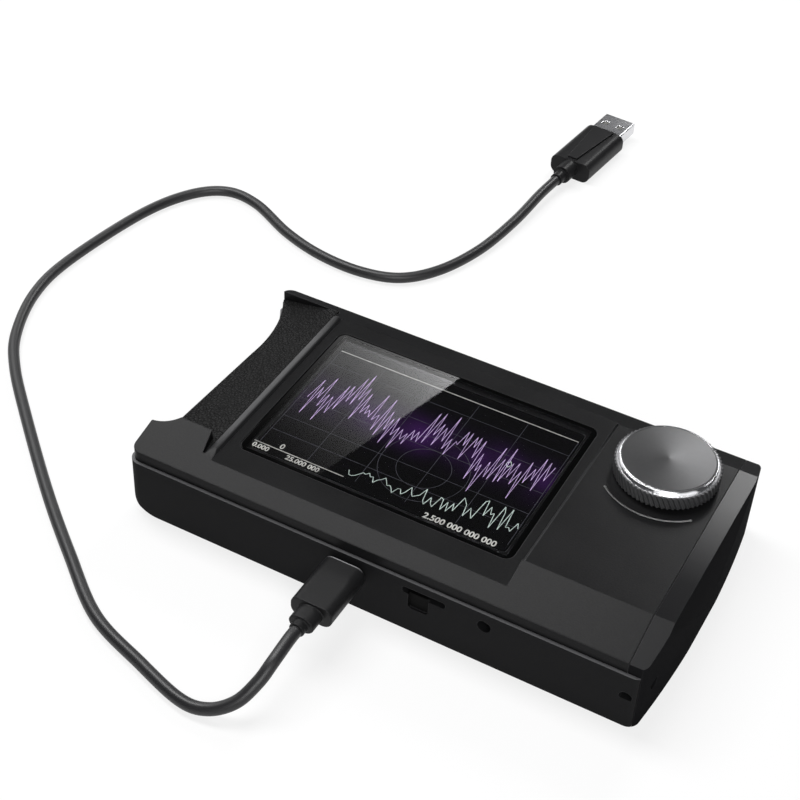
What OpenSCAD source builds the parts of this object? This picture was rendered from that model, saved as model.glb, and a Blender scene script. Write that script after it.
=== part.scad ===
// Handheld spectrum analyzer with a scooped left grip, a sunk screen bay, one tuning knob
// and its USB lead. Millimetres, +Z up, front wall towards -Y, origin under the middle of the housing.

/* [Housing] */
// Overall length, left end to right end
body_w = 152; // [148:0.5:156]
// Overall depth, front wall to rear wall
body_d = 82.6; // [80:0.2:88]
// Height of the flat top
top_h = 25.4; // [24.6:0.2:28]
// Height of the parting line between the shells
parting_h = 18; // [17:0.25:18.5]
// Wall thickness
wall = 2; // [1.6:0.1:2.4]
// How far the lower shell stands proud of the upper one
ledge = 0.8; // [0.4:0.1:1]
// Height of the upright skirt under the sloped front
skirt_h = 3.4; // [2.6:0.2:4]
// Depth of the sloped front
slope_run = 14.3; // [12:0.1:16]
// Depth of the falling strip along the rear edge
rear_run = 6.4; // [4:0.2:8]
// Fall of that strip
rear_drop = 1.4; // [0.6:0.1:2]
// Radius of the upright corners
corner_r = 3.4; // [3:0.1:4.5]
// Radius under the left end
belly_r = 9; // [5:0.5:11]
// Bow of the right end, seen from above
end_bow = 2.6; // [2:0.1:3.4]
// How far the right end's belly stands past its top edge
end_bulge = 1.5; // [1:0.1:2]
// Height of the belly's widest line
bulge_h = 6; // [4:0.5:10]
// Radius of the right end's upright corners
end_corner_r = 3.2; // [2.6:0.1:4]
// Length of the right end cap above the parting line
cap_w = 5.5; // [5:0.1:7]
// Length of the right end cap below the parting line
cap_low_w = 2; // [1.6:0.1:3]
// Gap along the end cap's seam
seam_gap = 0.1; // [0.05:0.05:0.3]
// Length of the end cap's ribs inside the shells
cap_rib_l = 5; // [3:0.5:7]
// Distance between the end cap's ribs
cap_rib_span = 44; // [30:1:48]
// Radius of the lanyard hole
lanyard_r = 1.7; // [1.2:0.1:1.8]
// Height of the lanyard holes
lanyard_h = 10.4; // [8:0.2:13]
// Distance of the front lanyard hole from the right end
lanyard_in = 4.7; // [4:0.1:5.5]
// Distance of the side lanyard hole from the front wall
lanyard_back = 7.8; // [7:0.2:10]

/* [Screen bay] */
// Distance from the left end to the ridge beside the screen
ridge_in = 20.2; // [19:0.2:24]
// Width of the ridge
ridge_w = 2.6; // [1.8:0.1:3]
// Height of the ridge above the screen panel
ridge_rise = 1; // [0.7:0.1:1.2]
// Fall of the crowned ridge from its top to its edges
ridge_edge = 0.6; // [0.3:0.1:0.6]
// Width of the screen bay
bay_w = 88; // [86.5:0.5:90]
// Distance from the front wall to the screen panel's front edge
panel_front = 6.9; // [5:0.1:9]
// How deep the panel's rear edge lies under the flat top
panel_rear_sink = 0.2; // [0.1:0.1:0.6]
// Bright edge along the knob panel
step_edge = 0.8; // [0.4:0.1:1.2]
// Width of the cover glass
glass_w = 81.9; // [78:0.1:84]
// Depth of the cover glass
glass_d = 55.8; // [52:0.1:57]
// Thickness of the cover glass
glass_t = 1.4; // [1:0.1:1.8]
// Corner radius of the cover glass
glass_r = 2.5; // [1.5:0.25:4]
// Gap round the cover glass
glass_gap = 0.15; // [0.1:0.05:0.3]
// How far the glass lies under the panel
glass_sink = 0.15; // [0:0.05:0.4]
// Distance from the panel's front edge to the glass
glass_setback = 8; // [7:0.1:9]
// Width of the ledge that carries the glass
glass_ledge = 2.7; // [2:0.1:3.5]
// Thickness of the display module
lcd_t = 3; // [2:0.1:3.4]
// Gap round the display module
lcd_gap = 0.25; // [0.1:0.05:0.5]

/* [Grip] */
// Fall of the scoop from the screen panel's level to its outer edge
scoop_fall = 3.2; // [2.6:0.1:3.6]
// Depth of the scoop's upper edge under the ridge
scoop_lip = 0.3; // [0.1:0.1:0.5]
// Radius of the scoop's hollow
scoop_r = 140; // [90:5:220]
// Wall left behind the scoop
scoop_rear_wall = 3.6; // [3:0.1:5]
// Width of the horn in front of the scoop
horn_w = 17.8; // [15:0.2:19]
// Radius cut into the horn's outer corner
horn_r = 9.7; // [7:0.1:11]
// Thickness of the grip pad
pad_t = 0.8; // [0.5:0.1:1]
// Gap round the grip pad
pad_gap = 0.2; // [0.1:0.05:0.4]
// Depth of the waist at its front end
waist_front_in = 3.8; // [2:0.1:5]
// Radius of the waist at its front end
waist_front_r = 12; // [8:0.5:16]
// Distance of the waist's front end from the front wall
waist_front_d = 20; // [17:0.5:24]
// Depth of the waist at its deepest
waist_in = 6; // [4:0.1:7]
// Radius of the waist behind its deepest point
waist_r = 40; // [30:1:60]
// Distance of the deepest point from the front wall
waist_d = 57; // [50:0.5:60]

/* [Knob] */
// Distance of the knob's axis from the right end
knob_in_x = 21.7; // [19.5:0.1:23]
// Distance of the knob's axis from the rear wall
knob_in_y = 19.4; // [18:0.1:24]
// Outer radius over the knurl
knob_r = 14.4; // [12.5:0.1:16]
// Height of the knob
knob_h = 5.3; // [4.8:0.1:7]
// Gap between the knob and the panel
knob_gap = 0.9; // [0.8:0.1:1.4]
// Height of the knurled band
knurl_h = 3.9; // [3:0.1:4.2]
// Depth of a knurl groove
knurl_depth = 0.5; // [0.3:0.05:0.7]
// Number of knurl ribs
knurl_n = 64; // [40:1:80]
// Slant of the knurl over its height, in degrees
knurl_slant = 7; // [0:1:12]
// Wall of the knob's rim
knob_rim = 2.2; // [1.8:0.1:3]
// Radius of the spun face
face_r = 12.6; // [11:0.1:12.9]
// Thickness of the spun face
face_t = 0.8; // [0.5:0.1:1.2]
// Radius of the knob's hub
hub_r = 5.6; // [5:0.1:6.5]
// Radius of the set screw
set_screw_r = 1.25; // [1:0.05:1.4]
// Length of the set screw
set_screw_l = 2.4; // [2:0.1:2.5]

/* [Encoder] */
// Radius of the encoder's shaft
shaft_r = 3; // [2.5:0.1:3]
// Running clearance round the shaft
shaft_clear = 0.06; // [0.03:0.01:0.1]
// Clearance of the knob's bore
bore_clear = 0.04; // [0.02:0.01:0.08]
// Width of the encoder's case
enc_w = 12.4; // [11:0.2:14]
// Height of the encoder's case
enc_h = 6.5; // [6:0.1:7]
// Radius of the threaded bushing
bushing_r = 3.5; // [3.4:0.1:4]
// Length of the bushing above the case
bushing_l = 5; // [4.8:0.1:5.2]
// Thickness of the washer
washer_t = 0.5; // [0.3:0.1:0.6]
// Radius of the washer
washer_r = 5.8; // [5:0.1:6]
// Height of the nut
nut_h = 1.8; // [1.4:0.1:1.9]
// Width of the nut across its flats
nut_af = 10; // [9:0.2:10.4]
// Radius of the well in the panel round the nut
well_r = 8; // [7.6:0.1:9]
// Thickness of the panel under the nut
well_floor = 2.1; // [1.6:0.1:2.2]
// Push travel of the knob
push_travel = 0.5; // [0.3:0.05:0.6]

/* [Board and battery] */
// Height of the board's underside
board_h = 10.8; // [10.4:0.1:11]
// Thickness of the board
board_t = 1.6; // [1:0.1:1.6]
// Gap between the board and the front wall
board_gap = 0.4; // [0.2:0.1:0.8]
// Gap between the board and the rear wall
board_rear_gap = 3.9; // [3.6:0.1:4]
// Distance of the board's left edge from the left end
board_left = 26; // [24:0.5:28]
// Distance of the board's right edge from the right end
board_right = 13.5; // [13.5:0.1:14.5]
// Radius of a board post
board_post_r = 2.6; // [2.4:0.1:3]
// Distance of the board posts from the board's edges
board_post_in = 4.4; // [4:0.1:5]
// Radius of a board screw
board_screw_r = 1; // [0.8:0.05:1.1]
// Length of a board screw in its post
board_bite = 5; // [3:0.5:5.5]
// Length of the battery
battery_w = 58; // [50:1:64]
// Depth of the battery
battery_d = 46; // [40:1:50]
// Thickness of the battery
battery_t = 7; // [5:0.2:8]
// Length of the shield can
shield_w = 36; // [28:1:38]
// Depth of the shield can
shield_d = 28; // [20:1:30]
// Height of the shield can
shield_h = 3; // [2:0.1:3.4]
// Gap between the shield can and the encoder
shield_gap = 4; // [2:0.5:5]
// Width of the display ribbon
ribbon_w = 20; // [14:0.5:26]
// Thickness of the display ribbon
ribbon_t = 0.3; // [0.2:0.05:0.4]

/* [Front ports] */
// Place of the USB port along the front wall
usb_x = -7; // [-12:0.5:0]
// Height of the USB axis above the board
usb_rise = 0.6; // [0.4:0.1:0.8]
// Width of the USB receptacle
port_w = 8.94; // [8.9:0.01:9.1]
// Height of the USB receptacle
port_h = 3.26; // [3.2:0.01:3.4]
// Length of the USB receptacle
port_l = 7.3; // [6.8:0.1:8]
// Sheet thickness of the USB receptacle
port_t = 0.25; // [0.2:0.01:0.26]
// How far the receptacle's mouth lies inside the wall
port_sink = 0.6; // [0.4:0.1:1]
// Place of the card slot along the front wall
card_x = 15.4; // [13:0.2:18]
// Width of the card slot
card_w = 12.4; // [12:0.1:13]
// Height of the card slot
card_slot_h = 2.1; // [1.6:0.1:2.4]
// Height of the card slot's middle above the board
card_rise = 2; // [1.7:0.1:2.4]
// Width of the nail recess under the card slot
nail_w = 5.8; // [4:0.2:7]
// How far that recess reaches under the slot
nail_fall = 5; // [4:0.2:6]
// Distance of that recess from the slot's middle, to the left
nail_left = 1.4; // [0:0.2:2.4]
// Place of the audio jack along the front wall
jack_x = 32.6; // [29:0.2:36]
// Radius of the audio jack's bore
jack_r = 1.8; // [1.7:0.05:1.9]
// Height of the audio jack's axis above the board
jack_rise = 1; // [0.8:0.1:1.4]
// Length of the audio jack
jack_l = 12; // [11:0.5:14]

/* [RF input] */
// Place of the RF jack along the rear wall
rf_x = 28; // [20:0.5:36]
// Radius of the RF jack's coupling thread
rf_r = 3.175; // [3:0.005:3.3]
// Radius of the RF jack's thread through the wall
rf_bulk_r = 3.6; // [3.5:0.05:3.8]
// Length of the RF jack outside the wall
rf_out = 7.5; // [6.5:0.1:8]
// Radius of the RF insulator
rf_core_r = 2.05; // [1.8:0.05:2.1]
// Radius of the RF centre pin
rf_pin_r = 0.64; // [0.5:0.01:0.7]
// Width of the RF nut across its flats
rf_nut_af = 9.4; // [9:0.1:9.6]

/* [Case screws] */
// Radius of a case screw
screw_r = 1.25; // [1:0.05:1.3]
// Radius of a case screw's head
screw_head_r = 2.3; // [2:0.1:2.4]
// Length of a case screw in the upper shell
screw_bite = 2.6; // [2:0.1:3]
// Radius of a screw post
post_r = 3.3; // [3.1:0.1:3.6]
// Distance of the left posts from the left end
post_left = 11; // [10.5:0.1:12]
// Distance of the right posts from the right end
post_right = 9.5; // [9.3:0.1:10]
// Distance of the posts from the front and rear walls
post_in = 7.8; // [7:0.1:9]

/* [USB lead] */
// Width of the USB-C metal shell
plug_w = 8.25; // [8.1:0.01:8.3]
// Thickness of the USB-C metal shell
plug_h = 2.4; // [2.3:0.01:2.45]
// Length of the USB-C metal shell outside its grip
plug_l = 6.65; // [6.2:0.05:6.8]
// Gap between the USB-C grip and the wall
plug_gap = 0.9; // [0.5:0.1:1.4]
// Width of the USB-C grip
grip_w = 12; // [11:0.1:12.4]
// Thickness of the USB-C grip
grip_h = 6.4; // [5.6:0.1:6.6]
// Length of the USB-C grip
grip_l = 17; // [14:0.5:20]
// Diameter of the cord
cord_d = 3.5; // [3:0.1:3.9]
// Width of the USB-A grip
a_grip_w = 15.6; // [14:0.1:17]
// Thickness of the USB-A grip
a_grip_h = 8.2; // [7.6:0.1:8.8]
// Length of the USB-A grip
a_grip_l = 26; // [20:0.5:30]
// Width of the USB-A metal shell
a_shell_w = 12; // [11.8:0.1:12.2]
// Thickness of the USB-A metal shell
a_shell_h = 4.5; // [4.4:0.05:4.6]
// Length of the USB-A metal shell outside its grip
a_shell_l = 12; // [11:0.1:13]
// Sheet thickness of the USB-A metal shell
a_sheet = 0.3; // [0.2:0.05:0.4]
// Turn of the USB-A plug on the table, in degrees
a_turn = -5; // [-8:1:-2]

/* [Hidden] */
$fn = 64;
left_x = -body_w / 2;
right_x = body_w / 2;
front_y = -body_d / 2;
rear_y = body_d / 2;
seam_x = right_x - cap_w;
low_seam_x = right_x - cap_low_w;
end_x = right_x + end_bulge;
lower_wall = wall + ledge;
belly_out = 0.2;
bow_r = (body_d * body_d / 4 + end_bow * end_bow) / (2 * end_bow);
bow_x = end_x - bow_r;
lean_r = (pow(top_h - bulge_h, 2) + end_bulge * end_bulge) / (2 * end_bulge);
fine_fn = 720;
eps = 0.01;

// Sloped front and rear strip of the upper shell
skirt_top = parting_h + skirt_h;
slope_y0 = front_y + ledge;
slope_y1 = slope_y0 + slope_run;
slope_tilt = atan2(top_h - skirt_top, slope_run);
rear_y0 = rear_y - ledge - rear_run;
function slope_z(y) = skirt_top + (y - slope_y0) * tan(slope_tilt);

// Screen panel
ridge_x0 = left_x + ridge_in;
ridge_x1 = ridge_x0 + ridge_w;
step_x = ridge_x1 + bay_w;
bay_x = (ridge_x1 + step_x) / 2;
panel_y = front_y + panel_front;
panel_z = slope_z(panel_y);
panel_tilt = atan2(top_h - panel_rear_sink - panel_z, rear_y0 - panel_y);
panel_l = body_d;
window_w = glass_w - 2 * glass_ledge;
window_d = glass_d - 2 * glass_ledge;
window_deep = 8;
lcd_top = -glass_sink - glass_t;
function panel_at(y) = panel_z + (y - panel_y) * tan(panel_tilt);

// Scoop
scoop_y0 = slope_y1;
scoop_y1 = rear_y - scoop_rear_wall;
scoop_p1 = [ridge_x0, ridge_rise - ridge_edge - scoop_lip];
scoop_p2 = [left_x + 2, -scoop_fall];
scoop_chord = norm(scoop_p1 - scoop_p2);
scoop_up = [scoop_p2.y - scoop_p1.y, scoop_p1.x - scoop_p2.x] / scoop_chord;
scoop_lift = sqrt(scoop_r * scoop_r - scoop_chord * scoop_chord / 4);
scoop_c = (scoop_p1 + scoop_p2) / 2 + scoop_up * scoop_lift;
horn_c = [left_x, scoop_y0 + horn_r - 4];
function scoop_at(x, y) = panel_at(y) + scoop_c.y - sqrt(scoop_r * scoop_r - pow(x - scoop_c.x, 2)) - pad_t;

// Inner ceilings
bay_ceiling = panel_z - wall;
knob_ceiling = top_h - wall;

// Axis of the knob
knob_x = right_x - knob_in_x;
knob_y = rear_y - knob_in_y;

// Board and what stands on it
board_top = board_h + board_t;
board_x0 = left_x + board_left;
board_x1 = right_x - board_right;
board_y0 = front_y + lower_wall + board_gap;
board_y1 = rear_y - lower_wall - board_rear_gap;
board_posts = [for (x = [board_x0 + board_post_in, board_x1 - board_post_in])
    for (y = [board_y0 + board_post_in, board_y1 - board_post_in]) [x, y]];
notch_gap = 0.3;
usb_z = board_top + usb_rise;
card_z = board_top + card_rise;
nail_h = card_slot_h / 2 + nail_fall;
card_socket_h = card_rise + card_slot_h / 2 + 0.6;
card_socket_w = card_w + 1.8;
card_socket_l = 15;
jack_z = board_top + jack_rise;
jack_w = 6.2;
jack_h = 5;
shield_c = [knob_x - enc_w / 2 - shield_gap - shield_w / 2, 6];
battery_c = [bay_x - 6, 0];

// Encoder and knob
enc_top = board_top + enc_h;
bushing_top = enc_top + bushing_l;
well_z = enc_top + well_floor;
well_boss_r = well_r + wall;
knob_z0 = top_h + knob_gap;
knob_z1 = knob_z0 + knob_h;
hub_z0 = bushing_top + push_travel + 0.3;
shaft_z0 = board_top + 2.4;
shaft_z1 = knob_z1 - face_t - 0.6;
plunger_z0 = shaft_z0 - 1.1;
set_screw_z = (knob_z0 + knob_z1) / 2 - 0.4;

// RF input
rf_z = board_top + rf_pin_r + 0.03;
rf_end = rear_y + rf_out;
rf_washer_t = 0.6;
rf_nut_h = 2;
rf_wall_clear = 0.12;
rf_free = rear_y + rf_washer_t + rf_nut_h + 0.3;

// Case screws
posts = [for (y = [front_y + post_in, rear_y - post_in])
    for (x = [left_x + post_left, right_x - post_right]) [x, y]];
screw_seat = 2.6;
screw_head_h = 1.6;
screw_top = parting_h + screw_bite;
screw_clear = 0.15;
pilot_clear = 0.05;
function boss_top(p) = p.x < 0 ? scoop_at(p.x, p.y) - wall / 2
    : min(knob_ceiling + 0.5, slope_z(p.y) - wall / 2);

// Route of the cord: out of the USB-C grip, down to the table, round the left end to the USB-A grip
cord_r = cord_d / 2;
plug_face = front_y - plug_gap;
collar_l = 4;
relief_l = 3;
cord_exit = [usb_x, plug_face - grip_l - collar_l - relief_l, usb_z];
a_collar_l = 4;
a_relief_l = 6;
a_axis = a_grip_h / 2;
a_hold = 3;
a_exit = [-43, 168, a_axis];
cord_points = [
    [-7, -77, 12], [-8, -82, 9.2], [-11, -87.5, 5.4], [-17, -91, 2.6], [-25, -91.5, 1.8],
    [-40, -87, 1.8], [-59, -80, 1.8], [-78, -66, 1.8], [-98, -50, 1.8], [-123, -28, 1.8],
    [-140, -12, 1.8], [-150, 1, 1.8], [-158, 20, 1.8], [-160, 40, 1.8], [-156, 74, 1.8],
    [-149, 93, 1.8], [-139, 102, 1.8], [-126, 101, 1.8], [-108, 92, 1.8], [-92, 87, 1.8],
    [-76, 86, 1.8], [-63, 90, 1.8], [-54, 101, 1.8], [-48, 118, 2], [-45, 138, 2.8],
    [-43.9, 156, 4]
];
cord_step = 2;
cord_sides = 8;

// Rectangle with round corners, centred
module round_rect(w, d, r) {
    square([w - 2 * r, d], center = true);
    square([w, d - 2 * r], center = true);
    for (x = [-1, 1])
        for (y = [-1, 1])
            translate([x * (w / 2 - r), y * (d / 2 - r)]) circle(r);
}

// Flat slab with round corners, lying on z = 0
module round_slab(w, d, r, t) {
    linear_extrude(t) round_rect(w, d, r);
}

// Extrudes an outline drawn in X and Z towards +Y, from y0
module along_y(y0, l) {
    translate([0, y0 + l, 0]) rotate([90, 0, 0]) linear_extrude(l) children();
}

// Extrudes an outline drawn in Y and Z towards +X, from x0
module along_x(x0, l) {
    translate([x0, 0, 0]) rotate([90, 0, 90]) linear_extrude(l) children();
}

// Places children on the tilted screen panel, at its front edge in the middle of the bay
module on_panel() {
    translate([bay_x, panel_y, panel_z]) rotate([panel_tilt, 0, 0]) children();
}

// Waist on the left side, grown by the inset
module waist(inset) {
    x0 = left_x + waist_front_in;
    x1 = left_x + waist_in;
    y0 = front_y + waist_front_d;
    y1 = front_y + waist_d;
    translate([x0 - waist_front_r, y0]) circle(waist_front_r + inset);
    translate([x1 - waist_r, y1]) circle(waist_r + inset, $fn = 256);
    polygon([[x0 - waist_front_r, y0], [x0 + inset, y0], [x1 + inset, y1], [x1 - waist_r, y1]]);
}

// Plan outline of the housing, drawn in by the inset and, at its bowed right end, by end_in
module outline(inset, end_in) {
    l = corner_r - inset;
    r = end_corner_r - max(inset, end_in);
    x0 = left_x + inset;
    y1 = body_d / 2 - inset;
    big_r = bow_r - end_in;
    y_c = y1 - r;
    x_c = bow_x + sqrt(pow(big_r - r, 2) - y_c * y_c);
    y_t = y_c * big_r / (big_r - r);
    difference() {
        union() {
            translate([x0 + l, -y1]) square([x_c - x0 - l, 2 * y1]);
            translate([x0, l - y1]) square([l + 1, 2 * (y1 - l)]);
            for (s = [-1, 1]) {
                translate([x0 + l, s * (y1 - l)]) circle(l);
                translate([x_c, s * y_c]) circle(r);
            }
            intersection() {
                translate([bow_x, 0]) circle(big_r, $fn = fine_fn);
                translate([x_c - 1, -y_t]) square([2 * end_corner_r + end_bow + 1, 2 * y_t]);
            }
        }
        waist(inset);
    }
}

// Front view of the right end's lean: widest at the belly, drawn in at the top
module end_lean() {
    translate([end_x - lean_r, bulge_h]) circle(lean_r, $fn = fine_fn);
}

// Front view of the lower half: round under the left end, nearly square under the right
module belly(inset) {
    l = belly_r - inset;
    x0 = left_x + inset - belly_out;
    h = parting_h - inset + 1;
    translate([x0 + l, inset]) square([end_x + 1 - x0 - l, h]);
    translate([x0, inset + l]) square([l + 1, h - l]);
    translate([x0 + l, inset + l]) circle(l);
}

// Side view of the upper half: skirt, sloped front, flat top, falling rear strip
module roof(z0) {
    polygon([[slope_y0, z0], [slope_y0, skirt_top], [slope_y1, top_h], [rear_y0, top_h],
        [rear_y - ledge, top_h - rear_drop], [rear_y - ledge, z0]]);
}

// Space under the roof, one wall inside it and no higher than the ceiling
module under_roof(ceiling) {
    y0 = slope_y0 + wall;
    drop = wall / cos(slope_tilt);
    y1 = slope_y0 + (ceiling + drop - skirt_top) / tan(slope_tilt);
    y2 = rear_y - ledge - wall;
    rise = min(ceiling, top_h - rear_drop - wall);
    polygon([[y0, parting_h - 1], [y0, min(slope_z(y0) - drop, ceiling)], [max(y1, y0 + 1), ceiling],
        [rear_y0 - wall, ceiling], [y2, rise], [y2, parting_h - 1]]);
}

module lower_body() {
    intersection() {
        linear_extrude(parting_h) outline(0, 0);
        along_y(front_y - 1, body_d + 2) belly(0);
    }
}

module upper_body() {
    intersection() {
        translate([0, 0, parting_h]) linear_extrude(top_h) outline(ledge, 0);
        along_x(left_x - 1, body_w + end_bulge + 2) roof(parting_h);
    }
}

// Whole housing as its right end has it: one upright outline, leaning at the end
module end_body() {
    intersection() {
        linear_extrude(2 * top_h) outline(0, 0);
        along_y(front_y - 1, body_d + 2) end_lean();
        along_x(left_x - 1, body_w + end_bulge + 2) {
            translate([front_y - 1, 0]) square([body_d + 2, parting_h]);
            roof(0);
        }
    }
}

// Everything to the right of the end cap's seam, which steps out below the parting line
module past_seam(gap) {
    translate([seam_x - gap, -body_d, parting_h - gap]) cube([body_w, 2 * body_d, 2 * top_h]);
    translate([low_seam_x - gap, -body_d, -1]) cube([body_w, 2 * body_d, 2 * top_h]);
}

// Rounded front-wall opening, from y0 inwards
module wall_slot(x, z, w, h, r) {
    translate([x, 0, z]) along_y(front_y - 1, lower_wall + 2) round_rect(w, h, r);
}

// Lower shell: tray with screw posts, board posts and the front and rear openings
module lower_shell() {
    color([0.13, 0.13, 0.14]) difference() {
        union() {
            difference() {
                lower_body();
                intersection() {
                    translate([0, 0, wall]) linear_extrude(parting_h) outline(lower_wall, 0);
                    along_y(front_y, body_d) belly(wall);
                }
            }
            for (p = posts)
                translate([p.x, p.y, wall / 2]) cylinder(r = post_r, h = parting_h - wall / 2);
            for (p = board_posts)
                translate([p.x, p.y, wall - eps]) cylinder(r = board_post_r, h = board_h - wall + eps);
        }
        past_seam(0);
        for (p = posts)
            translate([p.x, p.y, -1]) {
                cylinder(r = screw_r + screw_clear, h = parting_h + 2);
                cylinder(r = screw_head_r + screw_clear, h = screw_seat + 1);
            }
        for (p = board_posts)
            translate([p.x, p.y, board_h - board_bite - 1])
                cylinder(r = board_screw_r + pilot_clear, h = board_bite + 2);
        wall_slot(usb_x, usb_z, port_w + 2 * notch_gap, port_h + 2 * notch_gap, 1.5);
        wall_slot(card_x, card_z, card_w, card_slot_h, card_slot_h / 2 - 0.2);
        translate([card_x - nail_left, 0, card_z - nail_h / 2]) along_y(front_y - 1, 1 + wall * 0.4)
            round_rect(nail_w, nail_h, 1.2);
        translate([jack_x, front_y - 1, jack_z]) rotate([-90, 0, 0])
            cylinder(r = jack_r + 0.1, h = lower_wall + 2);
        rf_round(rf_bulk_r + rf_wall_clear, rear_y - lower_wall - 1, rear_y + 1);
        translate([right_x - lanyard_in, 0, lanyard_h]) along_y(front_y - 1, lower_wall + 2) half_moon();
    }
}

// Front lanyard hole: round above, flat below
module half_moon() {
    intersection() {
        circle(lanyard_r);
        translate([-2 * lanyard_r, -lanyard_r / 2]) square(4 * lanyard_r);
    }
}

// Plan of the scoop, drawn in by the inset
module scoop_area(inset) {
    translate([left_x - 5, scoop_y0 + inset])
        square([ridge_in + 5 - inset, scoop_y1 - scoop_y0 - 2 * inset]);
    translate(horn_c) circle(horn_r - inset);
}

// Slanted end of the horn beside the ridge, drawn in by the inset
module scoop_notch(inset) {
    x0 = left_x + horn_w + inset;
    y0 = panel_y + 1.2 + 2 * inset;
    x1 = ridge_x0 - inset;
    polygon([[x0, scoop_y0 + 1], [x0, scoop_y0], [min(x1 - 0.3, ridge_x0 - 0.8 + inset), y0], [x1, y0],
        [x1, scoop_y0 + 1]]);
}

// Solid round bar, tilted as the screen panel is, that hollows the scoop
module scoop_bar(r) {
    translate([scoop_c.x, panel_y, panel_z]) rotate([panel_tilt, 0, 0])
        translate([0, 2 * panel_l, scoop_c.y]) rotate([90, 0, 0])
            cylinder(r = r, h = 3 * panel_l, $fn = fine_fn);
}

// Upper shell: sloped front, screen bay, ridge, scoop, knob well and inner spaces
module upper_shell() {
    color([0.19, 0.19, 0.2]) difference() {
        union() {
            difference() {
                upper_body();
                intersection() {
                    translate([0, 0, parting_h - 1]) linear_extrude(top_h)
                        outline(ledge + wall, ledge + wall);
                    union() {
                        difference() {
                            along_x(left_x, ridge_x1 + 1 - left_x) under_roof(bay_ceiling);
                            scoop_bar(scoop_r + pad_t + wall);
                        }
                        along_x(ridge_x1, step_x + wall - ridge_x1) under_roof(bay_ceiling);
                        along_x(step_x + wall - 1, body_w) under_roof(knob_ceiling);
                    }
                }
            }
            for (p = posts)
                translate([p.x, p.y, parting_h]) cylinder(r = post_r, h = boss_top(p) - parting_h);
            translate([knob_x, knob_y, enc_top]) cylinder(r = well_boss_r, h = top_h - enc_top - eps);
            // Stock for the ridge, which stands above the flat top towards the rear
            translate([ridge_x0 - scoop_lip / 2, scoop_y0, top_h - wall])
                cube([ridge_w + scoop_lip, rear_y0 - scoop_y0, wall + ridge_rise]);
        }
        past_seam(0);
        // Screen bay, with the ridge left standing
        on_panel() translate([-bay_w / 2, -panel_l / 2, 0]) cube([bay_w, 2 * panel_l, top_h]);
        on_panel() translate([-bay_w / 2 - ridge_w, 0, ridge_rise]) along_y(-panel_l / 2, 2 * panel_l)
            polygon([[-scoop_lip, top_h], [-scoop_lip, -ridge_edge - scoop_lip / 2],
                [ridge_w / 3, -ridge_edge / 3], [ridge_w * 2 / 3, 0], [ridge_w + eps, -ridge_edge - eps],
                [ridge_w + eps, top_h]]);
        // Cover glass pocket and display window
        on_panel() translate([0, glass_setback + glass_d / 2, lcd_top])
            round_slab(glass_w + 2 * glass_gap, glass_d + 2 * glass_gap, glass_r + glass_gap, top_h);
        on_panel() translate([0, glass_setback + glass_d / 2, -window_deep])
            round_slab(window_w, window_d, 1, window_deep);
        // Bright edge of the knob panel
        along_y(slope_y1, rear_y0 - slope_y1)
            polygon([[step_x - eps, top_h + 1], [step_x + step_edge + 1, top_h + 1],
                [step_x - eps, top_h - step_edge]]);
        // Scoop, down to the underside of the grip pad
        intersection() {
            scoop_bar(scoop_r + pad_t);
            linear_extrude(2 * top_h) {
                scoop_area(0);
                scoop_notch(0);
            }
        }
        // Knob well and bushing hole
        translate([knob_x, knob_y, well_z]) cylinder(r = well_r, h = top_h);
        translate([knob_x, knob_y, enc_top - 1]) cylinder(r = bushing_r + 0.1, h = top_h);
        for (p = posts)
            translate([p.x, p.y, parting_h - 1])
                cylinder(r = screw_r + pilot_clear, h = screw_top - parting_h + 1.3);
    }
}

// Right end cap: bowed end of both shells, ribs that reach into them, side lanyard hole
module right_end_cap() {
    rib_h = parting_h - 2 * wall - 1;
    color([0.11, 0.11, 0.12]) difference() {
        union() {
            intersection() {
                end_body();
                past_seam(-seam_gap);
            }
            for (s = [-1, 1])
                translate([low_seam_x - cap_rib_l, s * cap_rib_span / 2 - wall / 2, wall + 0.5])
                    cube([cap_rib_l + 1, wall, rib_h]);
        }
        translate([low_seam_x - 1, front_y + lanyard_back, lanyard_h])
            rotate([0, 90, 0]) cylinder(r = lanyard_r, h = cap_w);
    }
}

// Grip pad: curved sheet on the scoop's floor
module grip_pad() {
    color([0.16, 0.16, 0.16]) difference() {
        intersection() {
            scoop_bar(scoop_r + pad_t);
            linear_extrude(2 * top_h) intersection() {
                union() {
                    scoop_area(pad_gap);
                    scoop_notch(pad_gap);
                }
                outline(ledge + pad_gap, ledge + pad_gap);
            }
        }
        scoop_bar(scoop_r);
    }
}

module cover_glass() {
    color([0.04, 0.04, 0.05]) on_panel() translate([0, glass_setback + glass_d / 2, lcd_top])
        round_slab(glass_w, glass_d, glass_r, glass_t);
}

module lcd_module() {
    color([0.2, 0.16, 0.3]) on_panel() translate([0, glass_setback + glass_d / 2, lcd_top - lcd_t])
        round_slab(window_w - 2 * lcd_gap, window_d - 2 * lcd_gap, 0.6, lcd_t);
}

// Display ribbon: lies under the display, folds down at its front, lies on the board
module lcd_ribbon() {
    lcd_y = panel_y + glass_setback + glass_ledge + lcd_gap;
    y0 = lcd_y - 3;
    z1 = panel_at(lcd_y) + lcd_top - lcd_t - 0.1;
    color([0.75, 0.5, 0.15]) along_x(bay_x - ribbon_w / 2, ribbon_w) {
        translate([y0, board_top]) square([10, ribbon_t]);
        translate([y0, board_top + ribbon_t / 2]) square([ribbon_t, z1 - board_top - ribbon_t]);
        translate([y0, z1 - ribbon_t]) square([10, ribbon_t]);
    }
}

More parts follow.
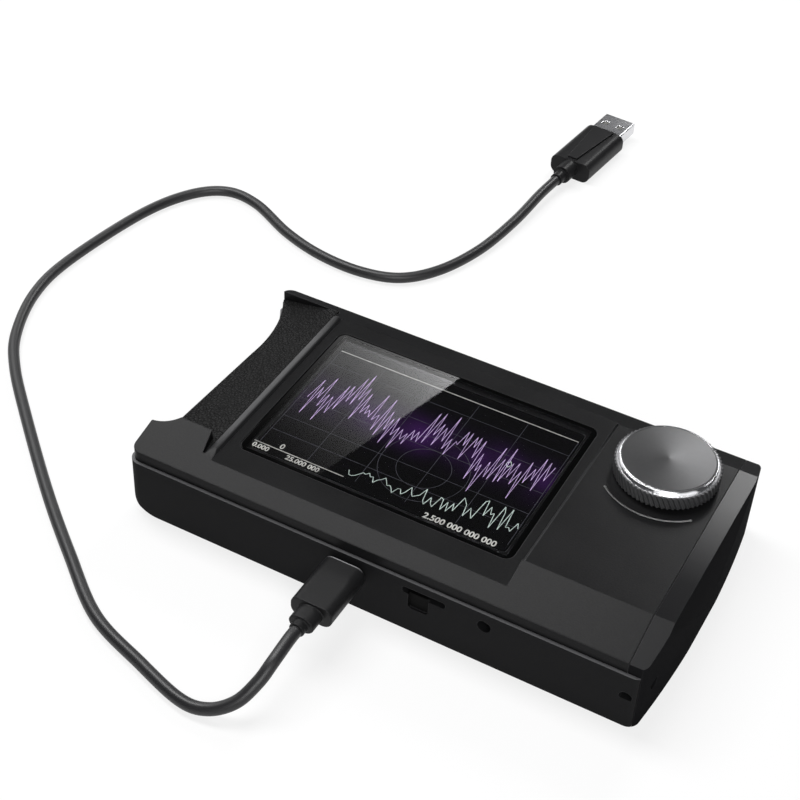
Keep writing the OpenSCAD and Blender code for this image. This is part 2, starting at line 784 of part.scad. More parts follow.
// Main board with notches for the sunk ports and holes for its screws
module main_board() {
    color([0.05, 0.3, 0.16]) difference() {
        translate([board_x0, board_y0, board_h]) cube([board_x1 - board_x0, board_y1 - board_y0, board_t]);
        translate([usb_x - port_w / 2 - notch_gap, front_y, board_h - 1])
            cube([port_w + 2 * notch_gap, port_sink + port_l + notch_gap, board_t + 2]);
        translate([jack_x - jack_w / 2 - notch_gap, front_y, board_h - 1])
            cube([jack_w + 2 * notch_gap, lower_wall + jack_l + notch_gap, board_t + 2]);
        for (p = board_posts)
            translate([p.x, p.y, board_h - 1]) cylinder(r = board_screw_r + screw_clear, h = board_t + 2);
    }
}

// Shield can: folded sheet, open below
module shield_can() {
    sheet = 0.3;
    color([0.75, 0.76, 0.78]) translate([shield_c.x, shield_c.y, board_top]) difference() {
        round_slab(shield_w, shield_d, 1, shield_h);
        translate([0, 0, -1])
            round_slab(shield_w - 2 * sheet, shield_d - 2 * sheet, 0.7, shield_h + 1 - sheet);
    }
}

module battery() {
    color([0.6, 0.62, 0.66]) translate([battery_c.x, battery_c.y, wall])
        round_slab(battery_w, battery_d, 2, battery_t);
}

// Encoder case with its threaded bushing, bored for the shaft and the plunger
module encoder_body() {
    color([0.6, 0.6, 0.62]) translate([knob_x, knob_y, board_top]) difference() {
        union() {
            translate([-enc_w / 2, -enc_w / 2, 0]) cube([enc_w, enc_w, enc_h]);
            cylinder(r = bushing_r, h = enc_h + bushing_l);
        }
        translate([0, 0, plunger_z0 - board_top - push_travel - 0.2])
            cylinder(r = shaft_r + shaft_clear, h = enc_h + bushing_l);
    }
}

module encoder_washer() {
    color([0.75, 0.75, 0.77]) translate([knob_x, knob_y, well_z]) difference() {
        cylinder(r = washer_r, h = washer_t);
        translate([0, 0, -1]) cylinder(r = bushing_r + 0.1, h = washer_t + 2);
    }
}

module encoder_nut() {
    color([0.78, 0.78, 0.8]) translate([knob_x, knob_y, well_z + washer_t]) difference() {
        cylinder(r = nut_af / sqrt(3), h = nut_h, $fn = 6);
        translate([0, 0, -1]) cylinder(r = bushing_r + 0.05, h = nut_h + 2);
    }
}

module encoder_plunger() {
    color([0.85, 0.85, 0.82]) translate([knob_x, knob_y, plunger_z0])
        cylinder(r = shaft_r, h = shaft_z0 - plunger_z0);
}

module encoder_shaft() {
    flat_h = shaft_z1 - hub_z0;
    color([0.8, 0.8, 0.82]) translate([knob_x, knob_y, shaft_z0]) difference() {
        cylinder(r = shaft_r, h = shaft_z1 - shaft_z0);
        translate([-shaft_r, shaft_r - 0.6, shaft_z1 - shaft_z0 - flat_h]) cube([2 * shaft_r, 1, flat_h + 1]);
    }
}

// One rib and groove of the knurl per step
function knurl_outline() = [for (i = [0 : 2 * knurl_n - 1])
    let (a = 180 * i / knurl_n, r = knob_r - (i % 2) * knurl_depth) [r * cos(a), r * sin(a)]];

// Knob: slanted knurl, bevelled shoulder, hollow underside, bored hub
module knob() {
    bevel_h = knob_h - knurl_h;
    web_z = knob_h - face_t - 1.2;
    color([0.1, 0.1, 0.11]) translate([knob_x, knob_y, knob_z0]) difference() {
        union() {
            linear_extrude(knurl_h, twist = knurl_slant, slices = 3) polygon(knurl_outline());
            translate([0, 0, knurl_h - eps])
                cylinder(r1 = knob_r - knurl_depth - 0.1, r2 = face_r + 0.3, h = bevel_h + eps);
            translate([0, 0, hub_z0 - knob_z0]) cylinder(r = hub_r, h = knob_z0 - hub_z0 + knurl_h);
        }
        translate([0, 0, -1]) difference() {
            cylinder(r = knob_r - knurl_depth - knob_rim, h = web_z + 1);
            translate([0, 0, -5]) cylinder(r = hub_r, h = knob_h + 9);
        }
        translate([0, 0, knob_h - face_t]) cylinder(r = face_r + 0.05, h = 2);
        translate([0, 0, hub_z0 - knob_z0 - 1])
            cylinder(r = shaft_r + bore_clear, h = shaft_z1 - hub_z0 + 1.1);
        translate([0, 0, set_screw_z - knob_z0])
            rotate([-90, 0, 0]) cylinder(r = set_screw_r + pilot_clear, h = knob_r + 1);
    }
}

module knob_face() {
    color([0.72, 0.73, 0.75]) translate([knob_x, knob_y, knob_z1 - face_t]) cylinder(r = face_r, h = face_t);
}

module knob_set_screw() {
    color([0.3, 0.3, 0.32]) translate([knob_x, knob_y + shaft_r - 0.5, set_screw_z])
        rotate([-90, 0, 0]) difference() {
            cylinder(r = set_screw_r, h = set_screw_l);
            translate([0, 0, set_screw_l - 1]) cylinder(r = set_screw_r * 0.5, h = 2, $fn = 6);
        }
}

// Points a cylinder along +Y on the RF axis
module rf_round(r, y0, y1) {
    translate([rf_x, y0, rf_z]) rotate([-90, 0, 0]) cylinder(r = r, h = y1 - y0);
}

// RF jack: square block inside the wall, threaded barrel outside
module rf_jack() {
    block = 2 * (rf_bulk_r + 0.6);
    color([0.83, 0.66, 0.3]) difference() {
        union() {
            translate([rf_x - block / 2, board_y1, rf_z - block / 2])
                cube([block, rear_y - lower_wall - board_y1, block]);
            rf_round(rf_bulk_r, rear_y - lower_wall - 1, rf_free);
            rf_round(rf_r, rf_free - 1, rf_end);
        }
        rf_round(rf_core_r + 0.05, board_y1 - 1, rf_end + 1);
    }
}

module rf_insulator() {
    color([0.93, 0.93, 0.9]) difference() {
        rf_round(rf_core_r, board_y1, rf_end - 3);
        rf_round(rf_pin_r + 0.05, board_y1 - 1, rf_end);
    }
}

module rf_pin() {
    color([0.85, 0.68, 0.3]) difference() {
        rf_round(rf_pin_r, board_y1 - 3, rf_end - 3.2);
        rf_round(rf_pin_r * 0.7, rf_end - 6, rf_end);
    }
}

module rf_washer() {
    color([0.8, 0.64, 0.3]) difference() {
        rf_round(rf_nut_af / 2 + 0.2, rear_y, rear_y + rf_washer_t);
        rf_round(rf_bulk_r + 0.1, rear_y - 1, rear_y + rf_washer_t + 1);
    }
}

module rf_nut() {
    color([0.83, 0.66, 0.3]) difference() {
        translate([rf_x, rear_y + rf_washer_t, rf_z])
            rotate([-90, 0, 0]) cylinder(r = rf_nut_af / sqrt(3), h = rf_nut_h, $fn = 6);
        rf_round(rf_bulk_r + 0.05, rear_y, rear_y + rf_washer_t + rf_nut_h + 1);
    }
}

// USB-C receptacle: shell, tongue and ears that rest on the board
module usb_port() {
    y0 = front_y + port_sink;
    color([0.78, 0.79, 0.8]) {
        translate([usb_x, 0, usb_z]) difference() {
            along_y(y0, port_l) round_rect(port_w, port_h, 1.2);
            along_y(y0 - 1, port_l + 0.4) round_rect(port_w - 2 * port_t, port_h - 2 * port_t, 1.2 - port_t);
        }
        translate([usb_x - 3.3, y0 + 1.6, usb_z - 0.35]) cube([6.6, port_l - 1.7, 0.7]);
        for (s = [-1, 1])
            translate([usb_x + s * (port_w / 2 + 0.6) - 0.8, y0 + port_l - 2.6, board_top])
                cube([1.6, 2, 0.4]);
    }
}

// 3.5 mm jack: bored body sunk in the board, with ears that rest on it
module audio_jack() {
    y0 = front_y + lower_wall;
    color([0.07, 0.07, 0.08]) difference() {
        union() {
            translate([jack_x - jack_w / 2, y0, jack_z - jack_h / 2]) cube([jack_w, jack_l, jack_h]);
            translate([jack_x - jack_w / 2 - 1.2, y0 + 4, board_top]) cube([jack_w + 2.4, 3, 0.8]);
        }
        translate([jack_x, y0 - 1, jack_z]) rotate([-90, 0, 0]) cylinder(r = jack_r, h = jack_l);
    }
}

// Card socket on the board, open to the front
module card_socket() {
    y0 = front_y + lower_wall + 0.1;
    color([0.7, 0.71, 0.73]) difference() {
        translate([card_x - card_socket_w / 2, y0 + board_gap, board_top])
            cube([card_socket_w, card_socket_l, card_socket_h]);
        translate([card_x - card_w / 2 + 0.5, y0 - 1, card_z - 0.6]) cube([card_w - 1, card_socket_l, 1.2]);
    }
}

// Pan-head screw pointing up, head underneath
module screw_up(r, head_r, head_h, l) {
    translate([0, 0, -head_h]) difference() {
        cylinder(r = head_r, h = head_h);
        translate([0, 0, -1]) cylinder(r = head_r * 0.45, h = 1.8, $fn = 6);
    }
    translate([0, 0, -eps]) cylinder(r = r, h = l + eps);
}

module case_screws() {
    color([0.25, 0.25, 0.27]) for (p = posts)
        translate([p.x, p.y, screw_seat])
            screw_up(screw_r, screw_head_r, screw_head_h, screw_top - screw_seat);
}

module board_screws() {
    color([0.7, 0.7, 0.72]) for (p = board_posts)
        translate([p.x, p.y, board_top]) mirror([0, 0, 1])
            screw_up(board_screw_r, 1.9, 1.3, board_t + board_bite);
}

// USB-C metal shell, open at its tip
module usb_c_shell() {
    y0 = plug_face - 2;
    color([0.8, 0.8, 0.82]) translate([usb_x, 0, usb_z]) difference() {
        along_y(y0, plug_l + 2) round_rect(plug_w, plug_h, 1);
        along_y(y0 + 2, plug_l + 1) round_rect(plug_w - 0.7, plug_h - 0.7, 0.65);
    }
}

// USB-C grip: moulded block, collar and strain relief
module usb_c_grip() {
    color([0.15, 0.15, 0.16]) difference() {
        translate([usb_x, 0, usb_z]) {
            along_y(plug_face - grip_l, grip_l) round_rect(grip_w, grip_h, 2.4);
            along_y(plug_face - grip_l - collar_l, collar_l + eps)
                round_rect(grip_w * 0.72, grip_h * 0.86, 2);
            translate([0, plug_face - grip_l - collar_l, 0])
                rotate([90, 0, 0]) cylinder(r1 = cord_r + 1, r2 = cord_r + 0.6, h = relief_l);
        }
        translate([usb_x, 0, usb_z]) along_y(plug_face - 2, 3) round_rect(plug_w, plug_h, 1);
    }
}

// Places children at the USB-A plug: origin where the cord ends, +Y towards the plug's tip
module at_a_plug() {
    translate(a_exit) rotate([0, 0, a_turn]) children();
}

module usb_a_grip() {
    y0 = a_relief_l + a_collar_l;
    color([0.15, 0.15, 0.16]) at_a_plug() difference() {
        union() {
            rotate([-90, 0, 0]) cylinder(r1 = cord_r + 0.5, r2 = cord_r + 1, h = a_relief_l + eps);
            along_y(a_relief_l, a_collar_l + eps) round_rect(a_grip_w * 0.6, a_grip_h * 0.8, 2);
            along_y(y0, a_grip_l) round_rect(a_grip_w, a_grip_h, 2.2);
        }
        along_y(y0 + a_grip_l - a_hold, a_hold + 1) round_rect(a_shell_w, a_shell_h, 0.5);
    }
}

// USB-A metal shell with its two windows
module usb_a_shell() {
    y0 = a_relief_l + a_collar_l + a_grip_l;
    color([0.8, 0.8, 0.82]) at_a_plug() difference() {
        along_y(y0 - a_hold, a_shell_l + a_hold) round_rect(a_shell_w, a_shell_h, 0.5);
        along_y(y0 - a_hold + 1, a_shell_l + a_hold)
            round_rect(a_shell_w - 2 * a_sheet, a_shell_h - 2 * a_sheet, 0.3);
        for (x = [-1, 1])
            translate([x * 2.9 - 1.1, y0 + 5, 1]) cube([2.2, 2.2, 3]);
    }
}

module usb_a_tongue() {
    y0 = a_relief_l + a_collar_l + a_grip_l;
    color([0.92, 0.92, 0.9]) at_a_plug()
        translate([0.25 + a_sheet - a_shell_w / 2, y0 - 2, a_sheet + 0.05 - a_shell_h / 2])
        cube([a_shell_w - 2 * a_sheet - 0.5, a_shell_l + 1, 1.8]);
}

// Smooth curve through four neighbouring points, at share t of the middle stretch
function between(a, b, c, d, t) = 0.5 * (2 * b + (c - a) * t + (2 * a - 5 * b + 4 * c - d) * t * t
    + (3 * b - a - 3 * c + d) * t * t * t);

// Middle line of the cord, from grip to grip
a_dir = [-sin(a_turn), cos(a_turn), 0];
cord_line = concat([cord_exit, cord_exit - [0, cord_d, 0]], cord_points, [a_exit - a_dir * cord_d, a_exit]);
function cord_at(i) = cord_line[max(0, min(len(cord_line) - 1, i))];
cord_rings = [for (i = [0 : len(cord_line) - 2])
    for (k = [0 : cord_step - 1])
        between(cord_at(i - 1), cord_at(i), cord_at(i + 1), cord_at(i + 2), k / cord_step),
    a_exit];
function unit(v) = v / norm(v);
function ring_dir(i) = i == 0 ? [0, -1, 0] : i == len(cord_rings) - 1 ? a_dir
    : unit(cord_rings[i + 1] - cord_rings[i - 1]);

// Cord: one tube swept along its middle line
module usb_cord() {
    n = len(cord_rings);
    pts = [for (i = [0 : n - 1])
        let (d = ring_dir(i), s = unit(cross(d, [0, 0, 1])), u = cross(s, d))
        for (k = [0 : cord_sides - 1])
            let (a = 360 * (k + 0.5) / cord_sides) cord_rings[i] + cord_r * (s * cos(a) + u * sin(a))];
    sides = [for (i = [0 : n - 2])
        for (k = [0 : cord_sides - 1])
            let (a = i * cord_sides + k, b = i * cord_sides + (k + 1) % cord_sides)
            each [[a, a + cord_sides, b], [b, a + cord_sides, b + cord_sides]]];
    start = [for (k = [0 : cord_sides - 1]) k];
    end = [for (k = [cord_sides - 1 : -1 : 0]) (n - 1) * cord_sides + k];
    color([0.09, 0.09, 0.1]) polyhedron(pts, concat(sides, [start, end]));
}

lower_shell();
upper_shell();
right_end_cap();
grip_pad();
cover_glass();
lcd_module();
lcd_ribbon();
main_board();
shield_can();
battery();
encoder_body();
encoder_washer();
encoder_nut();
encoder_plunger();
encoder_shaft();
knob();
knob_face();
knob_set_screw();
rf_jack();
rf_insulator();
rf_pin();
rf_washer();
rf_nut();
usb_port();
audio_jack();
card_socket();
case_screws();
board_screws();
usb_c_shell();
usb_c_grip();
usb_cord();
usb_a_grip();
usb_a_shell();
usb_a_tongue();
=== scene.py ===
# Handheld spectrum analyzer with its USB lead, on a pale table

import math

import bpy
from mathutils import Matrix, Vector


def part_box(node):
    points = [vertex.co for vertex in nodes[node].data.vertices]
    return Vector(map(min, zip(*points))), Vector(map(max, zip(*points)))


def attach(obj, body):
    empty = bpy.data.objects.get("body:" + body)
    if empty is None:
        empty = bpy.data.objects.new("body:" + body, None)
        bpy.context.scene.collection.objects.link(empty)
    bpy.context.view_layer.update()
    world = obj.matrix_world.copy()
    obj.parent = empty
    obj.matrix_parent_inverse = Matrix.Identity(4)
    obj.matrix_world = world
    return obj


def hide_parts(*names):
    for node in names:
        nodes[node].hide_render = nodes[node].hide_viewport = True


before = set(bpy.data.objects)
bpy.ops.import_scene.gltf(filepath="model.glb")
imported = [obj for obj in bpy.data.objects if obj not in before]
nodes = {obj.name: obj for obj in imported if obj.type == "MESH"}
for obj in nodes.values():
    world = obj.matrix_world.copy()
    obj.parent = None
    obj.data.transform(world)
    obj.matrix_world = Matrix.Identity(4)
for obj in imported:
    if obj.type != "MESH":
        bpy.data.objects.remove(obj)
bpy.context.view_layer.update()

# Camera
# It looks down at the front of the analyzer from its right, about 40 degrees above the table,
# with a long lens and a slight lean to one side.
camera_place = (0.13587, -0.29895, 0.32300)
azimuth = math.radians(26.81)
elevation = math.radians(40.56)
lean = math.radians(3.2)
back = Vector((
    math.sin(azimuth) * math.cos(elevation),
    -math.cos(azimuth) * math.cos(elevation),
    math.sin(elevation),
))
level = Vector((math.cos(azimuth), math.sin(azimuth), 0))
upright = back.cross(level)
side = level * math.cos(lean) + upright * math.sin(lean)
top = upright * math.cos(lean) - level * math.sin(lean)
bpy.ops.object.camera_add()
camera = bpy.context.object
camera.matrix_world = Matrix((
    (side.x, top.x, back.x, camera_place[0]),
    (side.y, top.y, back.y, camera_place[1]),
    (side.z, top.z, back.z, camera_place[2]),
    (0, 0, 0, 1),
))
camera.data.lens = 74.13
camera.data.sensor_width = 36
camera.data.clip_start = 0.01
bpy.context.scene.camera = camera

# Table
# A smooth white laminate sheet, wide enough to fill the view from above. It shows white to the
# camera and in reflections, and still takes the analyzer's shadow.
table_size = 40
table_drop = 0.00004
table_plain_white = 0.8
bpy.ops.object.select_all(action="DESELECT")
bpy.ops.mesh.primitive_plane_add(size=table_size, location=(0, 0, -table_drop))
table = bpy.context.object
table.name = "table"
table_white = bpy.data.materials.new("white_laminate")
table_white.use_nodes = True
table_nodes, table_links = table_white.node_tree.nodes, table_white.node_tree.links
table_nodes.clear()


# Adds a maths node, with its second value where that is fixed
def maths(n, operation, second=None):
    step = n.new("ShaderNodeMath")
    step.operation = operation
    if second is not None:
        step.inputs[1].default_value = second
    return step


table_out = table_nodes.new("ShaderNodeOutputMaterial")
table_mix = table_nodes.new("ShaderNodeMixShader")
table_seen = maths(table_nodes, "MAXIMUM")
table_seen_all = maths(table_nodes, "MAXIMUM")
table_share = maths(table_nodes, "MULTIPLY", table_plain_white)
table_ray = table_nodes.new("ShaderNodeLightPath")
table_glow = table_nodes.new("ShaderNodeEmission")
table_glow.inputs["Color"].default_value = (0.98, 0.98, 0.98, 1)
table_body = table_nodes.new("ShaderNodeBsdfPrincipled")
table_body.inputs["Base Color"].default_value = (0.86, 0.86, 0.86, 1)
table_body.inputs["Roughness"].default_value = 0.6
table_links.new(table_ray.outputs["Is Camera Ray"], table_seen.inputs[0])
table_links.new(table_ray.outputs["Is Glossy Ray"], table_seen.inputs[1])
table_links.new(table_seen.outputs[0], table_seen_all.inputs[0])
table_links.new(table_ray.outputs["Is Transmission Ray"], table_seen_all.inputs[1])
table_links.new(table_seen_all.outputs[0], table_share.inputs[0])
table_links.new(table_share.outputs[0], table_mix.inputs["Fac"])
table_links.new(table_body.outputs[0], table_mix.inputs[1])
table_links.new(table_glow.outputs[0], table_mix.inputs[2])
table_links.new(table_mix.outputs[0], table_out.inputs["Surface"])
table.data.materials.append(table_white)

# Studio light
# A dim room with three softboxes: one overhead that lights the slope, one behind for the end cap and
# the knob, one in front. The camera doesn't see the pale cards: one gives the slanting reflection on
# the screen, and the others show in the knob's bevel and along the housing's edges.
room_level = 0.07
room = bpy.data.worlds.new("room")
bpy.context.scene.world = room
room.use_nodes = True
room.node_tree.nodes["Background"].inputs["Color"].default_value = (0.95, 0.97, 1, 1)
room.node_tree.nodes["Background"].inputs["Strength"].default_value = room_level


# A rectangular lamp, aimed at a place, with its width along X
def softbox(name, place, aim, width, depth, watts):
    bpy.ops.object.light_add(type="AREA", location=place)
    lamp = bpy.context.object
    lamp.name = name
    lamp.data.shape = "RECTANGLE"
    lamp.data.size = width
    lamp.data.size_y = depth
    lamp.data.energy = watts
    behind = (Vector(place) - Vector(aim)).normalized()
    across = (Vector((1, 0, 0)) - behind * behind.x).normalized()
    lamp.rotation_euler = Matrix((across, behind.cross(across), behind)).transposed().to_euler()


softbox("softbox_overhead", (-0.38, 0.165, 0.90), aim=(0, 0, 0), width=0.75, depth=0.30, watts=9)
softbox("softbox_behind", (-0.02, 0.82, 0.62), aim=(0.06, 0, 0.02), width=0.22, depth=0.24, watts=2.8)
softbox("softbox_front", (0.44, -0.70, 0.75), aim=(0, 0, 0), width=0.5, depth=0.4, watts=6)

card_corners = ((-0.247, 0.56), (-0.4575, 0.84), (-0.62, 0.84), (-0.62, 0.56))
card_away = 0.6
card_slant = (-0.75, 0.66)
card_bright = (-0.28, 0.60)
card_reach = 0.066
card_strength = 5.2
bpy.ops.object.select_all(action="DESELECT")
bpy.ops.mesh.primitive_plane_add(size=1)
card = bpy.context.object
card.name = "reflection_card"
for corner, (x, z) in zip((0, 2, 3, 1), card_corners):
    card.data.vertices[corner].co = (x, card_away, z)
card.visible_camera = False
card_white = bpy.data.materials.new("card_white")
card_white.use_nodes = True
card_nodes, card_links = card_white.node_tree.nodes, card_white.node_tree.links
card_nodes.clear()
card_out = card_nodes.new("ShaderNodeOutputMaterial")
card_glow = card_nodes.new("ShaderNodeEmission")
card_where = card_nodes.new("ShaderNodeTexCoord")
card_fall = card_nodes.new("ShaderNodeVectorMath")
card_fall.operation = "DOT_PRODUCT"
card_fall.inputs[1].default_value = (card_slant[0], 0, card_slant[1])
card_offset = card_slant[0] * card_bright[0] + card_slant[1] * card_bright[1]
card_rate = maths(card_nodes, "MULTIPLY_ADD", -1 / card_reach)
card_rate.inputs[2].default_value = card_offset / card_reach
card_fade = maths(card_nodes, "EXPONENT")
card_level = maths(card_nodes, "MULTIPLY", card_strength)
card_links.new(card_where.outputs["Object"], card_fall.inputs[0])
card_links.new(card_fall.outputs["Value"], card_rate.inputs[0])
card_links.new(card_rate.outputs[0], card_fade.inputs[0])
card_links.new(card_fade.outputs[0], card_level.inputs[0])
card_links.new(card_level.outputs[0], card_glow.inputs["Strength"])
card_links.new(card_glow.outputs[0], card_out.inputs["Surface"])
card.data.materials.append(card_white)


# Makes a piece a plain white card that shows only in reflections
def glow_card(piece, strength):
    piece.visible_camera = False
    piece.visible_diffuse = False
    white = bpy.data.materials.new(piece.name + "_white")
    white.use_nodes = True
    white.node_tree.nodes.clear()
    out = white.node_tree.nodes.new("ShaderNodeOutputMaterial")
    glow = white.node_tree.nodes.new("ShaderNodeEmission")
    glow.inputs["Strength"].default_value = strength
    white.node_tree.links.new(glow.outputs[0], out.inputs["Surface"])
    piece.data.materials.append(white)


# A flat card that faces the part
def flat_card(name, place, width, height, strength):
    bpy.ops.object.select_all(action="DESELECT")
    bpy.ops.mesh.primitive_plane_add(size=1, location=place)
    made_card = bpy.context.object
    made_card.name = name
    made_card.scale = (width, height, 1)
    made_card.rotation_euler = (-Vector(place)).to_track_quat("Z", "Y").to_euler()
    glow_card(made_card, strength)


flat_card("low_card", (-0.70, 0.68, 0.29), width=0.44, height=0.5, strength=2.2)
flat_card("left_card", (-0.84, 0.26, 0.47), width=0.62, height=0.6, strength=1.6)

sweep_radius = 1.0
sweep_low = 0.20
sweep_high = 0.95
sweep_first = math.radians(-95)
sweep_last = math.radians(5)
sweep_strength = 1.35
bpy.ops.object.select_all(action="DESELECT")
bpy.ops.mesh.primitive_circle_add(vertices=90, radius=sweep_radius, location=(0, 0, sweep_low))
sweep = bpy.context.object
sweep.name = "sweep_card"
for vertex in sweep.data.vertices:
    turn = math.atan2(vertex.co.y, vertex.co.x)
    vertex.select = not sweep_first < turn < sweep_last
for part in sweep.data.edges:
    part.select = any(sweep.data.vertices[v].select for v in part.vertices)
bpy.ops.object.mode_set(mode="EDIT")
bpy.ops.mesh.select_mode(type="VERT")
bpy.ops.mesh.delete(type="VERT")
bpy.ops.mesh.select_all(action="SELECT")
bpy.ops.mesh.extrude_edges_move(TRANSFORM_OT_translate={"value": (0, 0, sweep_high - sweep_low)})
bpy.ops.object.mode_set(mode="OBJECT")
glow_card(sweep, sweep_strength)

bpy.context.scene.view_settings.view_transform = "Standard"

# USB cord
# Round black jacket of soft PVC over the wires, 3.5 mm thick. It leaves the plug at the front wall,
# drops to the table, passes the left end in an open bend and comes to the other plug behind.
cord_diameter = 0.0035
cord_exit = (-0.007, -0.0662, 0.013)
cord_end = (-0.043, 0.168, 0.0041)
plug_turn = math.radians(-5)
plug_dir = Vector((-math.sin(plug_turn), math.cos(plug_turn), 0))
cord_route = [
    (-7, -77, 12), (-8, -82, 9.2), (-11, -87.5, 5.4), (-17, -91, 2.6), (-25, -91.5, 1.8),
    (-40, -87, 1.8), (-59, -80, 1.8), (-78, -66, 1.8), (-98, -50, 1.8), (-123, -28, 1.8),
    (-140, -12, 1.8), (-150, 1, 1.8), (-158, 20, 1.8), (-160, 40, 1.8), (-156, 74, 1.8),
    (-149, 93, 1.8), (-139, 102, 1.8), (-126, 101, 1.8), (-108, 92, 1.8), (-92, 87, 1.8),
    (-76, 86, 1.8), (-63, 90, 1.8), (-54, 101, 1.8), (-48, 118, 2), (-45, 138, 2.8),
    (-43.9, 156, 4),
]
cord_line = [Vector(cord_exit), Vector(cord_exit) - Vector((0, cord_diameter, 0))]
cord_line += [Vector(p) / 1000 for p in cord_route]
cord_line += [Vector(cord_end) - plug_dir * cord_diameter, Vector(cord_end)]
cord_curve = bpy.data.curves.new("usb_cord_jacket", "CURVE")
cord_curve.dimensions = "3D"
# With a depth of 1, a point's radius is the radius of the jacket there
cord_curve.bevel_depth = 1
cord_curve.bevel_resolution = 6
cord_curve.resolution_u = 10
cord_curve.use_fill_caps = True
cord_spline = cord_curve.splines.new("BEZIER")
cord_spline.bezier_points.add(len(cord_line) - 1)
for i, point in enumerate(cord_spline.bezier_points):
    before = cord_line[max(i - 1, 0)]
    after = cord_line[min(i + 1, len(cord_line) - 1)]
    reach = (after - before) / 6
    point.co = cord_line[i]
    point.radius = cord_diameter / 2
    point.handle_left_type = "FREE"
    point.handle_right_type = "FREE"
    point.handle_left = cord_line[i] - reach
    point.handle_right = cord_line[i] + reach
cord = bpy.data.objects.new("usb_cord_jacket", cord_curve)
bpy.context.scene.collection.objects.link(cord)
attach(cord, "usb_lead")
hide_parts("usb_cord")


# Starts a node group with its named inputs and outputs
def start_group(name, inputs, outputs):
    group = bpy.data.node_groups.new(name, "ShaderNodeTree")
    for in_out, sockets in (("INPUT", inputs), ("OUTPUT", outputs)):
        for socket, kind in sockets:
            group.interface.new_socket(socket, in_out=in_out, socket_type="NodeSocket" + kind)
    return group, group.nodes.new("NodeGroupInput"), group.nodes.new("NodeGroupOutput")


# Adds a node that mixes two colours
def colour_mix(n):
    mix = n.new("ShaderNodeMix")
    mix.data_type = "RGBA"
    return mix


# Fine mottled grain of a spark-eroded mould, in colour, roughness and height
def grain_group():
    fine_share = 0.55
    broad_share = 0.45
    broad_scale = 45
    group, given, out = start_group(
        "moulded_grain",
        (("Dark", "Color"), ("Pale", "Color"), ("Scale", "Float"), ("Rough", "Float"),
         ("Rough Spread", "Float")),
        (("Color", "Color"), ("Roughness", "Float"), ("Height", "Float")),
    )
    n, l = group.nodes, group.links
    place = n.new("ShaderNodeTexCoord")
    fine = n.new("ShaderNodeTexNoise")
    fine.inputs["Detail"].default_value = 3
    fine.inputs["Roughness"].default_value = 0.6
    broad = n.new("ShaderNodeTexNoise")
    broad.inputs["Scale"].default_value = broad_scale
    broad.inputs["Detail"].default_value = 3
    speck = maths(n, "MULTIPLY_ADD", fine_share)
    spread = maths(n, "MULTIPLY", broad_share)
    tint = colour_mix(n)
    rough = maths(n, "MULTIPLY_ADD")
    middle = maths(n, "SUBTRACT", 0.5)
    l.new(place.outputs["Object"], fine.inputs["Vector"])
    l.new(place.outputs["Object"], broad.inputs["Vector"])
    l.new(given.outputs["Scale"], fine.inputs["Scale"])
    l.new(broad.outputs[0], spread.inputs[0])
    l.new(fine.outputs[0], speck.inputs[0])
    l.new(spread.outputs[0], speck.inputs[2])
    l.new(speck.outputs[0], tint.inputs["Factor"])
    l.new(given.outputs["Dark"], tint.inputs[6])
    l.new(given.outputs["Pale"], tint.inputs[7])
    l.new(broad.outputs[0], middle.inputs[0])
    l.new(middle.outputs[0], rough.inputs[0])
    l.new(given.outputs["Rough Spread"], rough.inputs[1])
    l.new(given.outputs["Rough"], rough.inputs[2])
    l.new(tint.outputs[2], out.inputs["Color"])
    l.new(rough.outputs[0], out.inputs["Roughness"])
    l.new(fine.outputs[0], out.inputs["Height"])
    return group


# Rounded edges: the normal across a small radius, and a mask of the edges that are painted paler, partly as
# rubbed wear and partly as a painted highlight
def edge_group():
    edge_radius = 0.00045
    wear_and_highlight_start = 0.995
    wear_and_highlight_full = 0.85
    group, given, out = start_group(
        "worn_edge_and_highlight",
        (("Color", "Color"), ("Rubbed And Highlight", "Color"), ("Wear And Highlight", "Float")),
        (("Color", "Color"), ("Normal", "Vector")),
    )
    n, l = group.nodes, group.links
    rounded = n.new("ShaderNodeBevel")
    rounded.samples = 6
    rounded.inputs["Radius"].default_value = edge_radius
    flat = n.new("ShaderNodeNewGeometry")
    agree = n.new("ShaderNodeVectorMath")
    agree.operation = "DOT_PRODUCT"
    edge = n.new("ShaderNodeMapRange")
    edge.inputs["From Min"].default_value = wear_and_highlight_start
    edge.inputs["From Max"].default_value = wear_and_highlight_full
    amount = maths(n, "MULTIPLY")
    tint = colour_mix(n)
    l.new(rounded.outputs[0], agree.inputs[0])
    l.new(flat.outputs["True Normal"], agree.inputs[1])
    l.new(agree.outputs["Value"], edge.inputs["Value"])
    l.new(edge.outputs[0], amount.inputs[0])
    l.new(given.outputs["Wear And Highlight"], amount.inputs[1])
    l.new(amount.outputs[0], tint.inputs["Factor"])
    l.new(given.outputs["Color"], tint.inputs[6])
    l.new(given.outputs["Rubbed And Highlight"], tint.inputs[7])
    l.new(tint.outputs[2], out.inputs["Color"])
    l.new(rounded.outputs[0], out.inputs["Normal"])
    return group


grain = grain_group()
worn_and_highlight = edge_group()
